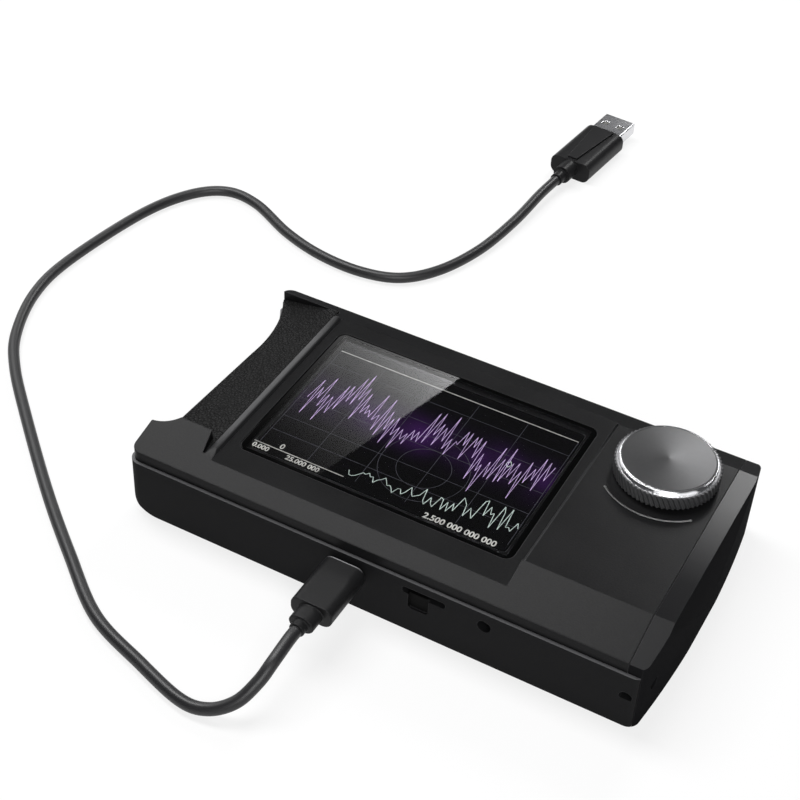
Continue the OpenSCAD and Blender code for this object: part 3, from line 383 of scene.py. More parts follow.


# A moulded or cast finish: mottled grain, its bump, and edges painted paler, partly as wear and partly as
# a painted highlight. Dark and pale are the colours of the grain, spread is how far its roughness varies,
# and depth is its height.
def finish(name, dark, pale, scale, rough, spread, depth, shine=0.5, rubbed_and_highlight=None, wear_and_highlight=0, metal=0):
    made = bpy.data.materials.new(name)
    made.use_nodes = True
    n, l = made.node_tree.nodes, made.node_tree.links
    body = n["Principled BSDF"]
    body.inputs["Metallic"].default_value = metal
    body.inputs["Specular IOR Level"].default_value = shine
    skin = n.new("ShaderNodeGroup")
    skin.node_tree = grain
    skin.inputs["Dark"].default_value = (*dark, 1)
    skin.inputs["Pale"].default_value = (*pale, 1)
    skin.inputs["Scale"].default_value = scale
    skin.inputs["Rough"].default_value = rough
    skin.inputs["Rough Spread"].default_value = spread
    # Pale edges: partly rubbed wear, partly a painted highlight
    edge = n.new("ShaderNodeGroup")
    edge.node_tree = worn_and_highlight
    edge.inputs["Rubbed And Highlight"].default_value = (*(rubbed_and_highlight or pale), 1)
    edge.inputs["Wear And Highlight"].default_value = wear_and_highlight
    bump = n.new("ShaderNodeBump")
    bump.inputs["Distance"].default_value = depth
    l.new(skin.outputs["Color"], edge.inputs["Color"])
    l.new(edge.outputs["Color"], body.inputs["Base Color"])
    l.new(skin.outputs["Roughness"], body.inputs["Roughness"])
    l.new(skin.outputs["Height"], bump.inputs["Height"])
    l.new(edge.outputs["Normal"], bump.inputs["Normal"])
    l.new(bump.outputs["Normal"], body.inputs["Normal"])
    return made


# Gives a piece or a CAD node its finish
def dress(piece, made):
    piece.data.materials.clear()
    piece.data.materials.append(made)


jacket = finish(
    "cord_jacket", dark=(0.010, 0.010, 0.011), pale=(0.020, 0.020, 0.021), scale=2500,
    rough=0.40, spread=0.2, depth=0.00001, shine=0.4,
)
cord_curve.materials.append(jacket)

# USB-C plug
# A black moulded grip with round sides over a bright deep-drawn steel shell. A narrow collar and a
# short strain relief lead to the cord.


# Starts a block as a primitive cube. Its size is its width, length and height.
def start_block(name, place, size):
    bpy.ops.object.select_all(action="DESELECT")
    bpy.ops.mesh.primitive_cube_add(size=1, location=place)
    block = bpy.context.object
    block.name = name
    block.scale = size
    bpy.ops.object.transform_apply(location=True, rotation=True, scale=True)
    return block


# Selects the parts of the active mesh that the test picks, and goes into edit mode
def pick(kind, test):
    piece = bpy.context.object
    bpy.ops.object.mode_set(mode="EDIT")
    bpy.ops.mesh.select_mode(type=kind)
    bpy.ops.mesh.select_all(action="DESELECT")
    bpy.ops.object.mode_set(mode="OBJECT")
    mesh = piece.data
    parts = mesh.polygons if kind == "FACE" else mesh.edges
    for part in parts:
        ends = [mesh.vertices[v].co for v in part.vertices]
        part.select = test(part, ends)
    bpy.ops.object.mode_set(mode="EDIT")


# Leaves edit mode, closes the mesh and smooths it between sharp edges
def close_piece(angle=40):
    bpy.ops.object.mode_set(mode="EDIT")
    bpy.ops.mesh.select_all(action="SELECT")
    bpy.ops.mesh.remove_doubles(threshold=0.000001)
    bpy.ops.mesh.normals_make_consistent(inside=False)
    bpy.ops.object.mode_set(mode="OBJECT")
    bpy.ops.object.shade_smooth_by_angle(angle=math.radians(angle))


# Rounds the edges that a bevel modifier finds by their angle
def soften(piece, width, segments, angle):
    soft = piece.modifiers.new("soft_edges", "BEVEL")
    soft.width = width
    soft.segments = segments
    soft.limit_method = "ANGLE"
    soft.angle_limit = math.radians(angle)
    soft.use_clamp_overlap = True
    bpy.ops.object.select_all(action="DESELECT")
    piece.select_set(True)
    bpy.context.view_layer.objects.active = piece
    bpy.ops.object.modifier_apply(modifier=soft.name)


# Whether an edge lies along an axis
def along(ends, axis):
    share = 0.99
    span = ends[0] - ends[1]
    return abs(span[axis]) > share * span.length


c_low, c_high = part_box("usb_c_grip")
c_mid = (c_low + c_high) / 2
c_width = 0.0120
c_height = 0.0064
c_front = -0.0422
c_length = 0.0170
c_corner = 0.0026
c_soft = 0.0006
collar_step = 0.0006
collar_wide = 0.0072
collar_tall = 0.0054
collar_length = 0.0048
relief_step = 0.0004
relief_wide = 0.0043
relief_length = 0.0022
c_lip_highlight_half = (0.0056, 0.0005, 0.0009)
c_back = (c_mid.x, c_front - c_length, c_mid.z)
c_grip = start_block(
    "usb_c_grip_moulding",
    (c_mid.x, c_front - c_length / 2, c_mid.z),
    (c_width, c_length, c_height),
)
pick("EDGE", lambda part, ends: along(ends, 1))
bpy.ops.mesh.bevel(offset=c_corner, segments=8, affect="EDGES", profile=0.5)
bpy.ops.object.mode_set(mode="OBJECT")
pick("FACE", lambda part, ends: part.normal.y < -0.9)
bpy.ops.mesh.inset(thickness=collar_step, depth=0)


# Makes the picked outline an even oval round the centre, across the cord's line
def round_off(piece, centre, wide, tall):
    bpy.ops.object.mode_set(mode="OBJECT")
    picked = [v for v in piece.data.vertices if v.select]
    picked.sort(key=lambda v: math.atan2(v.co.z - centre[2], v.co.x - centre[0]))
    for k, vertex in enumerate(picked):
        turn = -math.pi + 2 * math.pi * (k + 0.5) / len(picked)
        vertex.co.x = centre[0] + wide / 2 * math.cos(turn)
        vertex.co.z = centre[2] + tall / 2 * math.sin(turn)
    bpy.ops.object.mode_set(mode="EDIT")


round_off(c_grip, c_back, collar_wide, collar_tall)
bpy.ops.mesh.extrude_region_move(TRANSFORM_OT_translate={"value": (0, -collar_length, 0)})
bpy.ops.mesh.inset(thickness=relief_step, depth=0)
round_off(c_grip, c_back, relief_wide, relief_wide)
bpy.ops.mesh.extrude_region_move(TRANSFORM_OT_translate={"value": (0, -relief_length, 0)})
close_piece()
soften(c_grip, c_soft, 4, 40)
close_piece(50)
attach(c_grip, "usb_lead")
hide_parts("usb_c_grip")
lead_grip = finish(
    "lead_grip", dark=(0.007, 0.007, 0.0074), pale=(0.016, 0.016, 0.0167), scale=3200,
    rough=0.4, spread=0.12, depth=0.00001, shine=0.13,
)


# Another colour inside a box: a painted highlight along a ridge or an edge, or painted shade in a recess
def paint_light_within(made, mid, half, soft, colour):
    n, l = made.node_tree.nodes, made.node_tree.links
    body = n["Principled BSDF"]
    before = body.inputs["Base Color"].links[0].from_socket
    where = n.new("ShaderNodeTexCoord")
    fit = n.new("ShaderNodeMapping")
    fit.vector_type = "TEXTURE"
    fit.inputs["Location"].default_value = mid
    fit.inputs["Scale"].default_value = half
    away = n.new("ShaderNodeVectorMath")
    away.operation = "ABSOLUTE"
    split = n.new("ShaderNodeSeparateXYZ")
    wide = maths(n, "MAXIMUM")
    most = maths(n, "MAXIMUM")
    mask = n.new("ShaderNodeMapRange")
    mask.inputs["From Min"].default_value = 1
    mask.inputs["From Max"].default_value = 1 - soft
    tint = colour_mix(n)
    tint.inputs[7].default_value = (*colour, 1)
    l.new(where.outputs["Object"], fit.inputs["Vector"])
    l.new(fit.outputs[0], away.inputs[0])
    l.new(away.outputs["Vector"], split.inputs[0])
    l.new(split.outputs["X"], wide.inputs[0])
    l.new(split.outputs["Y"], wide.inputs[1])
    l.new(wide.outputs[0], most.inputs[0])
    l.new(split.outputs["Z"], most.inputs[1])
    l.new(most.outputs[0], mask.inputs["Value"])
    l.new(mask.outputs[0], tint.inputs["Factor"])
    l.new(before, tint.inputs[6])
    l.new(tint.outputs[2], body.inputs["Base Color"])


# Painted highlight: a pale line along the grip's top edge at the wall
paint_light_within(lead_grip, (c_mid.x, c_front, c_high.z), c_lip_highlight_half, soft=0.4, colour=(0.30, 0.30, 0.31))
dress(c_grip, lead_grip)

plug_steel = finish(
    "plug_steel", dark=(0.62, 0.62, 0.64), pale=(0.78, 0.78, 0.8), scale=1500,
    rough=0.24, spread=0.15, depth=0.000004, metal=1,
)
dress(nodes["usb_c_shell"], plug_steel)

# USB-A plug
# A broad black grip with a raised rib along its top, a stepped collar, and a folded steel shell with
# two windows over a pale contact tongue.
a_height = 0.0082
a_rib = 0.0008
a_width = 0.0156
a_length = 0.0260
a_start = 0.0100
a_corner = 0.0028
a_soft = 0.0005
a_collar_wide = 0.0066
a_collar_tall = 0.0064
a_collar_length = 0.0060
a_relief_wide = 0.0045
a_relief_length = 0.0040
rib_margin = 0.0010
rib_taper = 0.45
a_grip = start_block(
    "usb_a_grip_moulding", (0, a_start + a_length / 2, -a_rib / 2), (a_width, a_length, a_height - a_rib),
)
pick("EDGE", lambda part, ends: along(ends, 1))
bpy.ops.mesh.bevel(offset=a_corner, segments=7, affect="EDGES", profile=0.5)
bpy.ops.object.mode_set(mode="OBJECT")
pick("FACE", lambda part, ends: part.normal.y < -0.9)
bpy.ops.mesh.inset(thickness=collar_step, depth=0)
round_off(a_grip, (0, a_start, 0), a_collar_wide, a_collar_tall)
bpy.ops.mesh.extrude_region_move(TRANSFORM_OT_translate={"value": (0, -a_collar_length, 0)})
bpy.ops.mesh.inset(thickness=relief_step, depth=0)
round_off(a_grip, (0, a_start, 0), a_relief_wide, a_relief_wide)
bpy.ops.mesh.extrude_region_move(TRANSFORM_OT_translate={"value": (0, -a_relief_length, 0)})
bpy.ops.object.mode_set(mode="OBJECT")
pick("FACE", lambda part, ends: part.normal.z > 0.95 and len(ends) == 4 and part.area > 0.0001)
bpy.ops.mesh.inset(thickness=rib_margin, depth=0)
bpy.ops.object.mode_set(mode="OBJECT")
for vertex in a_grip.data.vertices:
    if vertex.select and vertex.co.y < a_start + a_length / 2:
        vertex.co.x *= rib_taper
bpy.ops.object.mode_set(mode="EDIT")
bpy.ops.mesh.extrude_region_move(TRANSFORM_OT_translate={"value": (0, 0, a_rib)})
close_piece()
soften(a_grip, a_soft, 3, 40)
close_piece(50)
a_place = Matrix.Translation(Vector(cord_end)) @ Matrix.Rotation(plug_turn, 4, "Z")
a_grip.matrix_world = a_place
bpy.ops.object.transform_apply(location=True, rotation=True, scale=True)
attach(a_grip, "usb_lead")
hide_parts("usb_a_grip")
dress(a_grip, lead_grip)
dress(nodes["usb_a_shell"], plug_steel)
contact_plastic = finish(
    "contact_plastic", dark=(0.62, 0.62, 0.58), pale=(0.74, 0.74, 0.7), scale=1800,
    rough=0.5, spread=0.1, depth=0.00001,
)
dress(nodes["usb_a_tongue"], contact_plastic)

# Lower shell and right end cap
# The tray of the housing, moulded in black ABS with a fine matt skin, and the bowed cap that closes
# both shells at the right. The ledge along the tray's rim is painted pale, as a painted highlight.
black_moulding = finish(
    "black_moulding", dark=(0.004, 0.004, 0.0045), pale=(0.009, 0.009, 0.0097), scale=2600,
    rough=0.7, spread=0.12, depth=0.00003, shine=0.1, rubbed_and_highlight=(0.05, 0.05, 0.052), wear_and_highlight=0.4,
)
rim_highlight_start = 0.01780
rim_highlight_full = 0.01792
recess_shade_mid = (0.0135, -0.0400, 0.0113)
recess_shade_half = (0.0030, 0.00125, 0.0027)


# Paler colour above a height: a polished bevel, or a painted highlight along an edge. It puts out the mask,
# which leaves out the faces that look up where only the sides are meant.
def pale_above(made, start, full, colour, sides_only=False):
    side_limit = 0.9
    n, l = made.node_tree.nodes, made.node_tree.links
    body = n["Principled BSDF"]
    before = body.inputs["Base Color"].links[0].from_socket
    where = n.new("ShaderNodeTexCoord")
    split = n.new("ShaderNodeSeparateXYZ")
    mask = n.new("ShaderNodeMapRange")
    mask.inputs["From Min"].default_value = start
    mask.inputs["From Max"].default_value = full
    tint = colour_mix(n)
    tint.inputs[7].default_value = (*colour, 1)
    l.new(where.outputs["Object"], split.inputs[0])
    l.new(split.outputs["Z"], mask.inputs["Value"])
    if sides_only:
        facing = n.new("ShaderNodeSeparateXYZ")
        side_mask = maths(n, "LESS_THAN", side_limit)
        both = maths(n, "MULTIPLY")
        l.new(where.outputs["Normal"], facing.inputs[0])
        l.new(facing.outputs["Z"], side_mask.inputs[0])
        l.new(mask.outputs[0], both.inputs[0])
        l.new(side_mask.outputs[0], both.inputs[1])
        mask = both
    l.new(mask.outputs[0], tint.inputs["Factor"])
    l.new(before, tint.inputs[6])
    l.new(tint.outputs[2], body.inputs["Base Color"])
    return mask


# Painted highlight: a pale line along the ledge of the tray's rim
pale_above(black_moulding, rim_highlight_start, rim_highlight_full, (0.13, 0.13, 0.135))
# Painted shade: the nail recess under the card slot is painted darker
paint_light_within(black_moulding, recess_shade_mid, recess_shade_half, soft=0.05, colour=(0.0006, 0.0006, 0.0006))
dress(nodes["lower_shell"], black_moulding)
cap_satin_level = 0.45
cap_satin_rough = 0.24
cap_fade_start = -0.012
cap_fade_end = 0.020
cap_moulding = finish(
    "cap_moulding", dark=(0.006, 0.006, 0.0065), pale=(0.013, 0.013, 0.014), scale=2600,
    rough=0.8, spread=0.1, depth=0.00001, shine=0.004, rubbed_and_highlight=(0.05, 0.05, 0.052), wear_and_highlight=0.3,
)
cap_nodes, cap_links = cap_moulding.node_tree.nodes, cap_moulding.node_tree.links
cap_body = cap_nodes["Principled BSDF"]
cap_body.inputs["Coat Roughness"].default_value = cap_satin_rough
cap_where = cap_nodes.new("ShaderNodeTexCoord")
cap_facing = cap_nodes.new("ShaderNodeSeparateXYZ")
cap_satin = cap_nodes.new("ShaderNodeMapRange")
cap_satin.inputs["From Min"].default_value = 0.85
cap_satin.inputs["From Max"].default_value = 0.93
cap_satin.inputs["To Max"].default_value = cap_satin_level
cap_place = cap_nodes.new("ShaderNodeSeparateXYZ")
cap_fade = cap_nodes.new("ShaderNodeMapRange")
cap_fade.inputs["From Min"].default_value = cap_fade_start
cap_fade.inputs["From Max"].default_value = cap_fade_end
cap_fade.inputs["To Min"].default_value = 0.2
cap_sheen = maths(cap_nodes, "MULTIPLY")
cap_links.new(cap_where.outputs["Normal"], cap_facing.inputs[0])
cap_links.new(cap_facing.outputs["Z"], cap_satin.inputs["Value"])
cap_links.new(cap_where.outputs["Object"], cap_place.inputs[0])
cap_links.new(cap_place.outputs["Y"], cap_fade.inputs["Value"])
cap_links.new(cap_satin.outputs[0], cap_sheen.inputs[0])
cap_links.new(cap_fade.outputs[0], cap_sheen.inputs[1])
cap_links.new(cap_sheen.outputs[0], cap_body.inputs["Coat Weight"])
dress(nodes["right_end_cap"], cap_moulding)

# Upper shell
# The lid of the housing, moulded in charcoal ABS with a slightly coarser grain that shows on the
# slope and round the screen. The ridge beside the grip is painted pale, as a painted highlight.
ridge_highlight_mid = (-0.0548, 0.0005, 0.0253)
ridge_highlight_half = (0.0012, 0.0345, 0.002)
charcoal_moulding = finish(
    "charcoal_moulding", dark=(0.001, 0.001, 0.0012), pale=(0.018, 0.018, 0.0187), scale=2200,
    rough=0.30, spread=0.08, depth=0.000024, shine=0.06, rubbed_and_highlight=(0.06, 0.06, 0.062), wear_and_highlight=0.6,
)
# Painted highlight: the ridge beside the grip is painted pale
paint_light_within(charcoal_moulding, ridge_highlight_mid, ridge_highlight_half, soft=0.4, colour=(0.07, 0.07, 0.072))
dress(nodes["upper_shell"], charcoal_moulding)

# Grip pad
# A thin rubber skin with a leather-like grain of small pebbles and creases, glued into the scoop for
# the left hand.
pebble_scale = 1050
pebble_depth = 0.00022
crease_width = 0.22
pad_rubber = finish(
    "pad_rubber", dark=(0.0005, 0.0005, 0.0005), pale=(0.016, 0.016, 0.0166), scale=900,
    rough=0.55, spread=0.2, depth=0.00012, shine=0.09,
)
pad_nodes, pad_links = pad_rubber.node_tree.nodes, pad_rubber.node_tree.links
pad_body = pad_nodes["Principled BSDF"]
pad_grain = pad_body.inputs["Base Color"].links[0].from_socket
pad_fine = pad_body.inputs["Normal"].links[0].from_socket
pad_where = pad_nodes.new("ShaderNodeTexCoord")
pad_wander = pad_nodes.new("ShaderNodeTexNoise")
pad_wander.inputs["Scale"].default_value = 320
pad_bend = pad_nodes.new("ShaderNodeMix")
pad_bend.data_type = "VECTOR"
pad_bend.inputs["Factor"].default_value = 0.0012
pad_pebble = pad_nodes.new("ShaderNodeTexVoronoi")
pad_pebble.feature = "DISTANCE_TO_EDGE"
pad_pebble.inputs["Scale"].default_value = pebble_scale
pad_crease = pad_nodes.new("ShaderNodeMapRange")
pad_crease.inputs["From Max"].default_value = crease_width
pad_bump = pad_nodes.new("ShaderNodeBump")
pad_bump.inputs["Distance"].default_value = pebble_depth
# Painted shade: the creases between the pebbles are painted darker, over their bump
pad_crease_shade = colour_mix(pad_nodes)
pad_crease_shade.inputs[6].default_value = (0.002, 0.002, 0.002, 1)
pad_links.new(pad_where.outputs["Object"], pad_wander.inputs["Vector"])
pad_links.new(pad_where.outputs["Object"], pad_bend.inputs[4])
pad_links.new(pad_wander.outputs["Color"], pad_bend.inputs[5])
pad_links.new(pad_bend.outputs[1], pad_pebble.inputs["Vector"])
pad_links.new(pad_pebble.outputs["Distance"], pad_crease.inputs["Value"])
pad_links.new(pad_crease.outputs[0], pad_bump.inputs["Height"])
pad_links.new(pad_fine, pad_bump.inputs["Normal"])
pad_links.new(pad_crease.outputs[0], pad_crease_shade.inputs["Factor"])
pad_links.new(pad_grain, pad_crease_shade.inputs[7])
pad_links.new(pad_crease_shade.outputs[2], pad_body.inputs["Base Color"])
pad_links.new(pad_bump.outputs["Normal"], pad_body.inputs["Normal"])
dress(nodes["grip_pad"], pad_rubber)

# Display
# A colour display module in its black frame, lit from behind. Thin lit lines draw the grid, the
# peak-hold trace in its violet haze, the live trace along the base line, and plain numbers.
panel_tilt = math.radians(1.648)
panel_front_y = -0.0344
panel_front_z = 0.023218
screen_level = -0.00155
haze_line = 0.0385
haze_depth = 0.0058
haze_strength = 0.26
display_glow = finish(
    "display_black", dark=(0.0003, 0.0003, 0.0004), pale=(0.0010, 0.0008, 0.0014), scale=900,
    rough=0.5, spread=0.05, depth=0.000002, shine=0,
)
dress(nodes["lcd_module"], display_glow)
glass_low, glass_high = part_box("cover_glass")
panel_front = Vector(((glass_low.x + glass_high.x) / 2, panel_front_y, panel_front_z))
panel_place = Matrix.Translation(panel_front) @ Matrix.Rotation(panel_tilt, 4, "X")
haze_nodes, haze_links = display_glow.node_tree.nodes, display_glow.node_tree.links
haze_body = haze_nodes["Principled BSDF"]
haze_body.inputs["Emission Strength"].default_value = haze_strength
haze_where = haze_nodes.new("ShaderNodeTexCoord")
haze_fit = haze_nodes.new("ShaderNodeMapping")
haze_fit.vector_type = "TEXTURE"
haze_fit.inputs["Location"].default_value = panel_place @ Vector((0, haze_line, 0))
haze_fit.inputs["Scale"].default_value = (1, haze_depth, 1)
haze_split = haze_nodes.new("ShaderNodeSeparateXYZ")
haze_square = maths(haze_nodes, "MULTIPLY")
haze_minus = maths(haze_nodes, "MULTIPLY", -1)
haze_fall = maths(haze_nodes, "EXPONENT")
haze_cloud = haze_nodes.new("ShaderNodeTexNoise")
haze_cloud.inputs["Scale"].default_value = 70
haze_cloud.inputs["Detail"].default_value = 1
haze_patch = haze_nodes.new("ShaderNodeMapRange")
haze_patch.inputs["From Min"].default_value = 0.25
haze_patch.inputs["From Max"].default_value = 0.62
haze_mask = maths(haze_nodes, "MULTIPLY")
haze_tint = colour_mix(haze_nodes)
haze_tint.inputs[6].default_value = (0, 0, 0, 1)
haze_tint.inputs[7].default_value = (0.15, 0.03, 0.30, 1)
haze_links.new(haze_where.outputs["Object"], haze_fit.inputs["Vector"])
haze_links.new(haze_where.outputs["Object"], haze_cloud.inputs["Vector"])
haze_links.new(haze_fit.outputs[0], haze_split.inputs[0])
haze_links.new(haze_split.outputs["Y"], haze_square.inputs[0])
haze_links.new(haze_split.outputs["Y"], haze_square.inputs[1])
haze_links.new(haze_square.outputs[0], haze_minus.inputs[0])
haze_links.new(haze_minus.outputs[0], haze_fall.inputs[0])
haze_links.new(haze_cloud.outputs[0], haze_patch.inputs["Value"])
haze_links.new(haze_fall.outputs[0], haze_mask.inputs[0])
haze_links.new(haze_patch.outputs[0], haze_mask.inputs[1])
haze_links.new(haze_mask.outputs[0], haze_tint.inputs["Factor"])
haze_links.new(haze_tint.outputs[2], haze_body.inputs["Emission Color"])


# A lit colour that varies a little from dot to dot of the screen
def lit(name, colour, strength):
    dimmest = 0.55
    made = bpy.data.materials.new(name)
    made.use_nodes = True
    n, l = made.node_tree.nodes, made.node_tree.links
    body = n["Principled BSDF"]
    body.inputs["Base Color"].default_value = (0.001, 0.001, 0.001, 1)
    body.inputs["Roughness"].default_value = 0.5
    body.inputs["Specular IOR Level"].default_value = 0
    body.inputs["Emission Strength"].default_value = strength
    flicker = n.new("ShaderNodeTexNoise")
    flicker.inputs["Scale"].default_value = 600
    shade = n.new("ShaderNodeValToRGB")
    low_stop, high_stop = shade.color_ramp.elements
    low_stop.position = 0.3
    high_stop.position = 0.65
    low_stop.color = (*(dimmest * c for c in colour), 1)
    high_stop.color = (*colour, 1)
    where = n.new("ShaderNodeTexCoord")
    l.new(where.outputs["Object"], flicker.inputs["Vector"])
    l.new(flicker.outputs[0], shade.inputs["Fac"])
    l.new(shade.outputs["Color"], body.inputs["Emission Color"])
    return made


# A place on the screen, a little above it
def on_screen(lift):
    return panel_place @ Matrix.Translation((0, 0, screen_level + lift))


# Draws flat lines, each a list of points in millimetres on the plane that the place gives. Each step of a
# line is a stroke of its own, because a sharp corner would thin a longer one.
def draw_lines(name, lines, width, made, place):
    flatness = 0.02
    ink = bpy.data.curves.new(name, "CURVE")
    ink.dimensions = "3D"
    ink.bevel_depth = width / 2
    ink.bevel_resolution = 0
    for line in lines:
        for ends in zip(line, line[1:]):
            stroke = ink.splines.new("POLY")
            stroke.points.add(1)
            for point, (x, y) in zip(stroke.points, ends):
                point.co = (x / 1000, y / 1000, 0, 1)
    drawn = bpy.data.objects.new(name, ink)
    bpy.context.scene.collection.objects.link(drawn)
    bpy.ops.object.select_all(action="DESELECT")
    drawn.select_set(True)
    bpy.context.view_layer.objects.active = drawn
    bpy.ops.object.convert(target="MESH")
    drawn = bpy.context.object
    drawn.data.transform(Matrix.Diagonal((1, 1, flatness, 1)))
    drawn.data.transform(place)
    dress(drawn, made)
    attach(drawn, "housing")


# A repeatable number from 0 to 1 for each whole number
def jitter(i):
    return (math.sin(i * 12.9898 + 4.1) * 43758.5453) % 1


grid_width = 0.00012
frame_width = 0.0003
peak_width = 0.00013
live_width = 0.0002
screen_left = -37.4
screen_right = 37.6
screen_base = 13.4
screen_top = 57.5
grid_rows = (19.8, 26.0, 34.6, 43.0, 51.2)
grid_columns = (screen_left, -22.4, -7.4, 7.6, 22.6, screen_right)
ring_mid = (6, 27)
ring_radii = (12.5, 7.5)
live_start = -10.9
ring = [(math.cos(math.radians(a)), math.sin(math.radians(a))) for a in range(0, 361, 6)]
grid_lines = [[(screen_left, y), (screen_right, y)] for y in grid_rows]
grid_lines += [[(x, screen_base), (x, screen_top)] for x in grid_columns]
grid_lines += [[(ring_mid[0] + r * x, ring_mid[1] + r * y) for x, y in ring] for r in ring_radii]
grid_grey = lit("grid_grey", (0.16, 0.16, 0.19), 0.55)
draw_lines("screen_grid", grid_lines, grid_width, grid_grey, on_screen(0.00001))
frame_lines = [
    [(screen_left, screen_top), (screen_right, screen_top)],
    [(-38.9, screen_base), (live_start, screen_base)],
]
frame_white = lit("frame_white", (0.62, 0.62, 0.58), 0.9)
draw_lines("screen_frame_lines", frame_lines, frame_width, frame_white, on_screen(0.00002))
peak_count = 100
peak_start = -36
peak_span = 72
peak_level = 39
peaks = []
for i in range(peak_count):
    x = peak_start + peak_span * i / (peak_count - 1)
    swing = 0.8 + 9.4 * jitter(i * 3 + 1) ** 1.6
    middle = peak_level + 2.6 * math.sin(x * 0.21) + 2.2 * math.sin(x * 0.53 + 1)
    peaks.append((x + 0.5 * jitter(i * 5 + 2), middle + (swing if i % 2 else -swing)))
peak_violet = lit("peak_violet", (0.64, 0.47, 0.80), 1.45)
draw_lines("screen_peak_trace", [peaks], peak_width, peak_violet, on_screen(0.00006))
live_count = 64
live_span = 48.4
live_level = 13.8
live = []
for i in range(live_count):
    x = live_start + live_span * i / (live_count - 1)
    rise = 3.2 + 8.4 * i / (live_count - 1)
    live.append((x, live_level + rise * jitter(i * 7 + 3) + 0.05 * (x - live_start)))
marker = [(24.2, 40), (25, 41.2), (25.8, 40), (25, 38.8), (24.2, 40)]
live_green = lit("live_green", (0.62, 0.74, 0.68), 1.2)
draw_lines("screen_live_trace", [live, marker], live_width, live_green, on_screen(0.00004))
number_white = lit("number_white", (0.75, 0.75, 0.70), 1.0)


# Plain numbers under the traces, placed in millimetres on the screen
def write_number(name, text, x, y, height):
    boldness = 0.00006
    lift = 0.00006
    bpy.ops.object.select_all(action="DESELECT")
    bpy.ops.object.text_add()
    words = bpy.context.object
    words.name = name
    words.data.body = text
    words.data.size = height
    words.data.offset = boldness
    bpy.ops.object.convert(target="MESH")
    words = bpy.context.object
    words.data.transform(on_screen(lift) @ Matrix.Translation((x / 1000, y / 1000, 0)))
    dress(words, number_white)
    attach(words, "housing")


write_number("screen_number_zero", "0", x=-31.5, y=14.0, height=0.0026)
write_number("screen_number_left", "0.000", x=-38.5, y=11.2, height=0.0023)
write_number("screen_number_middle", "25.000 000", x=-28, y=11.2, height=0.0023)
write_number("screen_number_right", "2.500 000 000 000", x=14, y=11.0, height=0.0028)

# Cover glass
# A sheet of hardened glass with a ground rim, its underside printed black round the display's window,
# bedded on the ledge of the screen bay.
glass_width = 0.0819
glass_depth = 0.0558
glass_setback = 0.008
glass_top = -0.00015
glass_thick = 0.0013
glass_corner = 0.0025
glass_rim = 0.0002
glass_index = 1.42
window_half = (0.0394, 0.0268)
glass = start_block(
    "cover_glass_sheet",
    (0, glass_setback + glass_depth / 2, glass_top - glass_thick / 2),
    (glass_width, glass_depth, glass_thick),
)
pick("EDGE", lambda part, ends: along(ends, 2))
bpy.ops.mesh.bevel(offset=glass_corner, segments=8, affect="EDGES", profile=0.5)
bpy.ops.object.mode_set(mode="OBJECT")
pick("FACE", lambda part, ends: part.normal.z > 0.9)
bpy.ops.mesh.region_to_loop()
bpy.ops.mesh.bevel(offset=glass_rim, segments=2, affect="EDGES", profile=0.5)
close_piece(12)
glass.data.transform(panel_place)
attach(glass, "housing")
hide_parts("cover_glass")
clear = bpy.data.materials.new("cover_glass")
clear.use_nodes = True
glass_nodes, glass_links = clear.node_tree.nodes, clear.node_tree.links
glass_body = glass_nodes["Principled BSDF"]
glass_body.inputs["Transmission Weight"].default_value = 1
glass_body.inputs["IOR"].default_value = glass_index
glass_where = glass_nodes.new("ShaderNodeTexCoord")
smear = glass_nodes.new("ShaderNodeTexNoise")
smear.inputs["Scale"].default_value = 70
smear.inputs["Detail"].default_value = 4
smear_range = glass_nodes.new("ShaderNodeMapRange")
smear_range.inputs["To Min"].default_value = 0.002
smear_range.inputs["To Max"].default_value = 0.014
glass_centre = glass_nodes.new("ShaderNodeMapping")
glass_centre.vector_type = "TEXTURE"
glass_centre.inputs["Location"].default_value = panel_place @ Vector((0, glass_setback + glass_depth / 2, 0))
glass_split = glass_nodes.new("ShaderNodeSeparateXYZ")
window = maths(glass_nodes, "MULTIPLY")
print_mix = colour_mix(glass_nodes)
print_mix.inputs[6].default_value = (0.002, 0.002, 0.002, 1)
print_mix.inputs[7].default_value = (0.9, 0.9, 0.92, 1)
glass_links.new(glass_where.outputs["Object"], smear.inputs["Vector"])
glass_links.new(smear.outputs[0], smear_range.inputs["Value"])
glass_links.new(smear_range.outputs[0], glass_body.inputs["Roughness"])
glass_links.new(glass_where.outputs["Object"], glass_centre.inputs["Vector"])
glass_links.new(glass_centre.outputs[0], glass_split.inputs[0])
for axis, half in enumerate(window_half):
    from_middle = maths(glass_nodes, "ABSOLUTE")
    inside = maths(glass_nodes, "LESS_THAN", half)
    glass_links.new(glass_split.outputs[axis], from_middle.inputs[0])
    glass_links.new(from_middle.outputs[0], inside.inputs[0])
    glass_links.new(inside.outputs[0], window.inputs[axis])
glass_links.new(window.outputs[0], print_mix.inputs["Factor"])
glass_links.new(print_mix.outputs[2], glass_body.inputs["Base Color"])
dress(glass, clear)

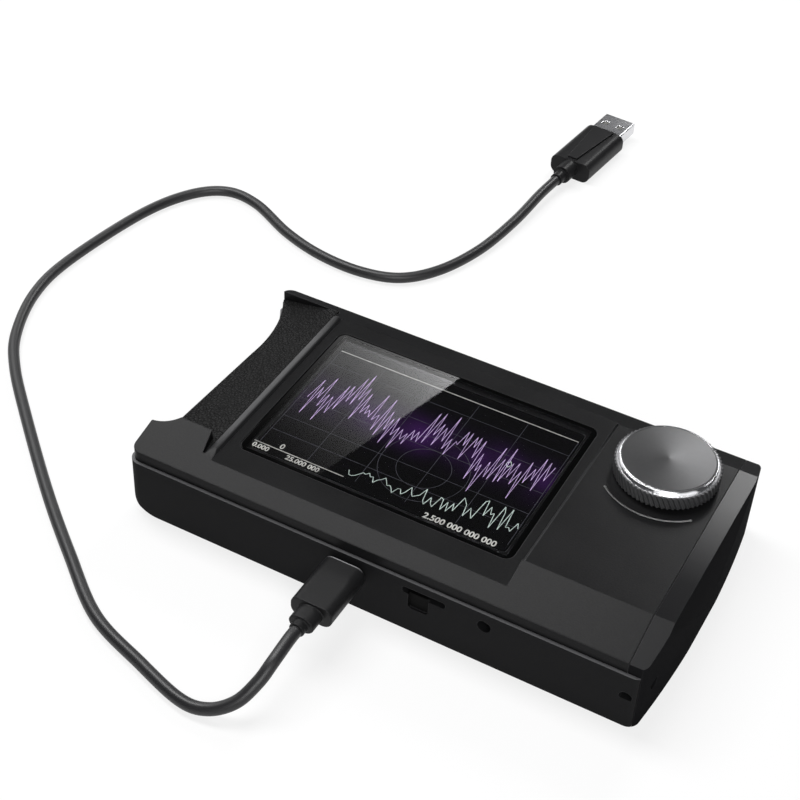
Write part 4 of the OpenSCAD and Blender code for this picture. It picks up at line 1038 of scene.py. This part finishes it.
# Tuning knob
# Turned from aluminium bar: a black anodised rim with a slanted knurl, a bright turned bevel, and a
# spun face set into the top.
knob_low, knob_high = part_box("knob")
knob_axis = Vector(((knob_low.x + knob_high.x) / 2, (knob_low.y + knob_high.y) / 2, 0))
bevel_start = knob_low.z + 0.0055
bevel_full = bevel_start + 0.00004
bevel_rough = 0.13
bevel_radius = 0.0013
groove_pitch = 0.0004
groove_depth = 0.0000025
face_slope = -0.07
knob_metal = finish(
    "knob_black", dark=(0.028, 0.028, 0.029), pale=(0.065, 0.065, 0.067), scale=2400,
    rough=0.36, spread=0.1, depth=0.00002, rubbed_and_highlight=(0.2, 0.2, 0.21), wear_and_highlight=0.5,
)
polished = pale_above(knob_metal, bevel_start, bevel_full, (0.70, 0.70, 0.72), sides_only=True)
knob_nodes, knob_links = knob_metal.node_tree.nodes, knob_metal.node_tree.links
knob_body = knob_nodes["Principled BSDF"]
knob_rough = knob_nodes.new("ShaderNodeMix")
knob_rough.inputs[3].default_value = bevel_rough
knob_links.new(polished.outputs[0], knob_rough.inputs["Factor"])
knob_links.new(knob_body.inputs["Roughness"].links[0].from_socket, knob_rough.inputs[2])
knob_links.new(knob_rough.outputs[0], knob_body.inputs["Roughness"])
knob_links.new(polished.outputs[0], knob_body.inputs["Metallic"])
knob_round = knob_nodes.new("ShaderNodeBevel")
knob_round.samples = 8
knob_round.inputs["Radius"].default_value = bevel_radius
knob_turned = knob_nodes.new("ShaderNodeMix")
knob_turned.data_type = "VECTOR"
knob_links.new(polished.outputs[0], knob_turned.inputs["Factor"])
knob_links.new(knob_body.inputs["Normal"].links[0].from_socket, knob_turned.inputs[4])
knob_links.new(knob_round.outputs[0], knob_turned.inputs[5])
knob_links.new(knob_turned.outputs[1], knob_body.inputs["Normal"])
dress(nodes["knob"], knob_metal)
face_metal = finish(
    "spun_aluminium", dark=(0.052, 0.052, 0.053), pale=(0.070, 0.070, 0.0715), scale=700,
    rough=0.36, spread=0.08, depth=0.000002, metal=1,
)
face_nodes, face_links = face_metal.node_tree.nodes, face_metal.node_tree.links
face_body = face_nodes["Principled BSDF"]
face_body.inputs["Anisotropic"].default_value = 0.4
spun = face_nodes.new("ShaderNodeTangent")
spun.direction_type = "RADIAL"
spun.axis = "Z"
face_links.new(spun.outputs[0], face_body.inputs["Tangent"])
face_where = face_nodes.new("ShaderNodeTexCoord")
face_centre = face_nodes.new("ShaderNodeMapping")
face_centre.vector_type = "TEXTURE"
face_centre.inputs["Location"].default_value = (knob_axis.x, knob_axis.y, knob_high.z)
face_radius = face_nodes.new("ShaderNodeVectorMath")
face_radius.operation = "LENGTH"
face_pitch = maths(face_nodes, "MULTIPLY", 2 * math.pi / groove_pitch)
face_turns = maths(face_nodes, "SINE")
face_groove = maths(face_nodes, "MULTIPLY", groove_depth)
face_crown = maths(face_nodes, "MULTIPLY_ADD", face_slope)
face_bump = face_nodes.new("ShaderNodeBump")
face_bump.inputs["Distance"].default_value = 1
face_links.new(face_where.outputs["Object"], face_centre.inputs["Vector"])
face_links.new(face_centre.outputs[0], face_radius.inputs[0])
face_links.new(face_radius.outputs["Value"], face_pitch.inputs[0])
face_links.new(face_pitch.outputs[0], face_turns.inputs[0])
face_links.new(face_turns.outputs[0], face_groove.inputs[0])
face_links.new(face_radius.outputs["Value"], face_crown.inputs[0])
face_links.new(face_groove.outputs[0], face_crown.inputs[2])
face_links.new(face_crown.outputs[0], face_bump.inputs["Height"])
face_links.new(face_body.inputs["Normal"].links[0].from_socket, face_bump.inputs["Normal"])
face_links.new(face_bump.outputs["Normal"], face_body.inputs["Normal"])
dress(nodes["knob_face"], face_metal)

# Printed arc
# A thin pale line with a dot at each end, pad printed on the lid round the front of the knob.
arc_radius = 17.6
arc_width = 0.0005
arc_first = -134
arc_span = 87
arc_steps = 40
dot_radius = 0.16
lid_level = 0.0254
ink_lift = 0.00001
arc_turns = [math.radians(arc_first + arc_span * i / arc_steps) for i in range(arc_steps + 1)]
arc_mid = (knob_axis.x * 1000, knob_axis.y * 1000)
arc_line = [(arc_mid[0] + arc_radius * math.cos(a), arc_mid[1] + arc_radius * math.sin(a)) for a in arc_turns]
arc_ends = (arc_line[0], arc_line[-1])
arc_dots = [[(x + dot_radius * c, y + dot_radius * d) for c, d in ring] for x, y in arc_ends]
print_white = finish(
    "print_white", dark=(0.56, 0.56, 0.56), pale=(0.68, 0.68, 0.68), scale=1500,
    rough=0.5, spread=0.1, depth=0.000004, shine=0.3,
)
arc_place = Matrix.Translation((0, 0, lid_level + ink_lift))
draw_lines("knob_arc", [arc_line] + arc_dots, arc_width, print_white, arc_place)

# Pieces inside and at the rear
# Each keeps its CAD shape and takes the finish of the real part.
steel = finish(
    "bright_metal", dark=(0.5, 0.5, 0.52), pale=(0.66, 0.66, 0.68), scale=1600,
    rough=0.3, spread=0.15, depth=0.000004, metal=1,
)
gilt = finish(
    "gilt_brass", dark=(0.72, 0.50, 0.18), pale=(0.84, 0.62, 0.26), scale=1400,
    rough=0.24, spread=0.12, depth=0.000004, metal=1,
)
dark_steel = finish(
    "dark_steel", dark=(0.05, 0.05, 0.055), pale=(0.1, 0.1, 0.105), scale=1800,
    rough=0.35, spread=0.15, depth=0.00001, metal=1,
)
board_mask = finish(
    "solder_mask", dark=(0.006, 0.05, 0.022), pale=(0.012, 0.09, 0.04), scale=500,
    rough=0.35, spread=0.1, depth=0.00001,
)
film = finish(
    "ribbon_film", dark=(0.42, 0.22, 0.04), pale=(0.55, 0.3, 0.06), scale=500,
    rough=0.35, spread=0.1, depth=0.00001,
)
pouch = finish(
    "battery_foil", dark=(0.4, 0.42, 0.45), pale=(0.55, 0.57, 0.6), scale=350,
    rough=0.4, spread=0.15, depth=0.00003, metal=0.8,
)
black_plastic = finish(
    "socket_black", dark=(0.006, 0.006, 0.007), pale=(0.014, 0.014, 0.015), scale=2000,
    rough=0.45, spread=0.1, depth=0.00001,
)
steel_pieces = (
    "encoder_body", "encoder_washer", "encoder_nut", "encoder_shaft", "usb_port", "board_screws",
    "shield_can", "card_socket",
)
for made, names in (
    (steel, steel_pieces),
    (gilt, ("rf_jack", "rf_pin", "rf_washer", "rf_nut")),
    (dark_steel, ("case_screws", "knob_set_screw")),
    (contact_plastic, ("encoder_plunger", "rf_insulator")),
    (board_mask, ("main_board",)),
    (film, ("lcd_ribbon",)),
    (pouch, ("battery",)),
    (black_plastic, ("audio_jack",)),
):
    for name in names:
        dress(nodes[name], made)

bpy.context.view_layer.update()
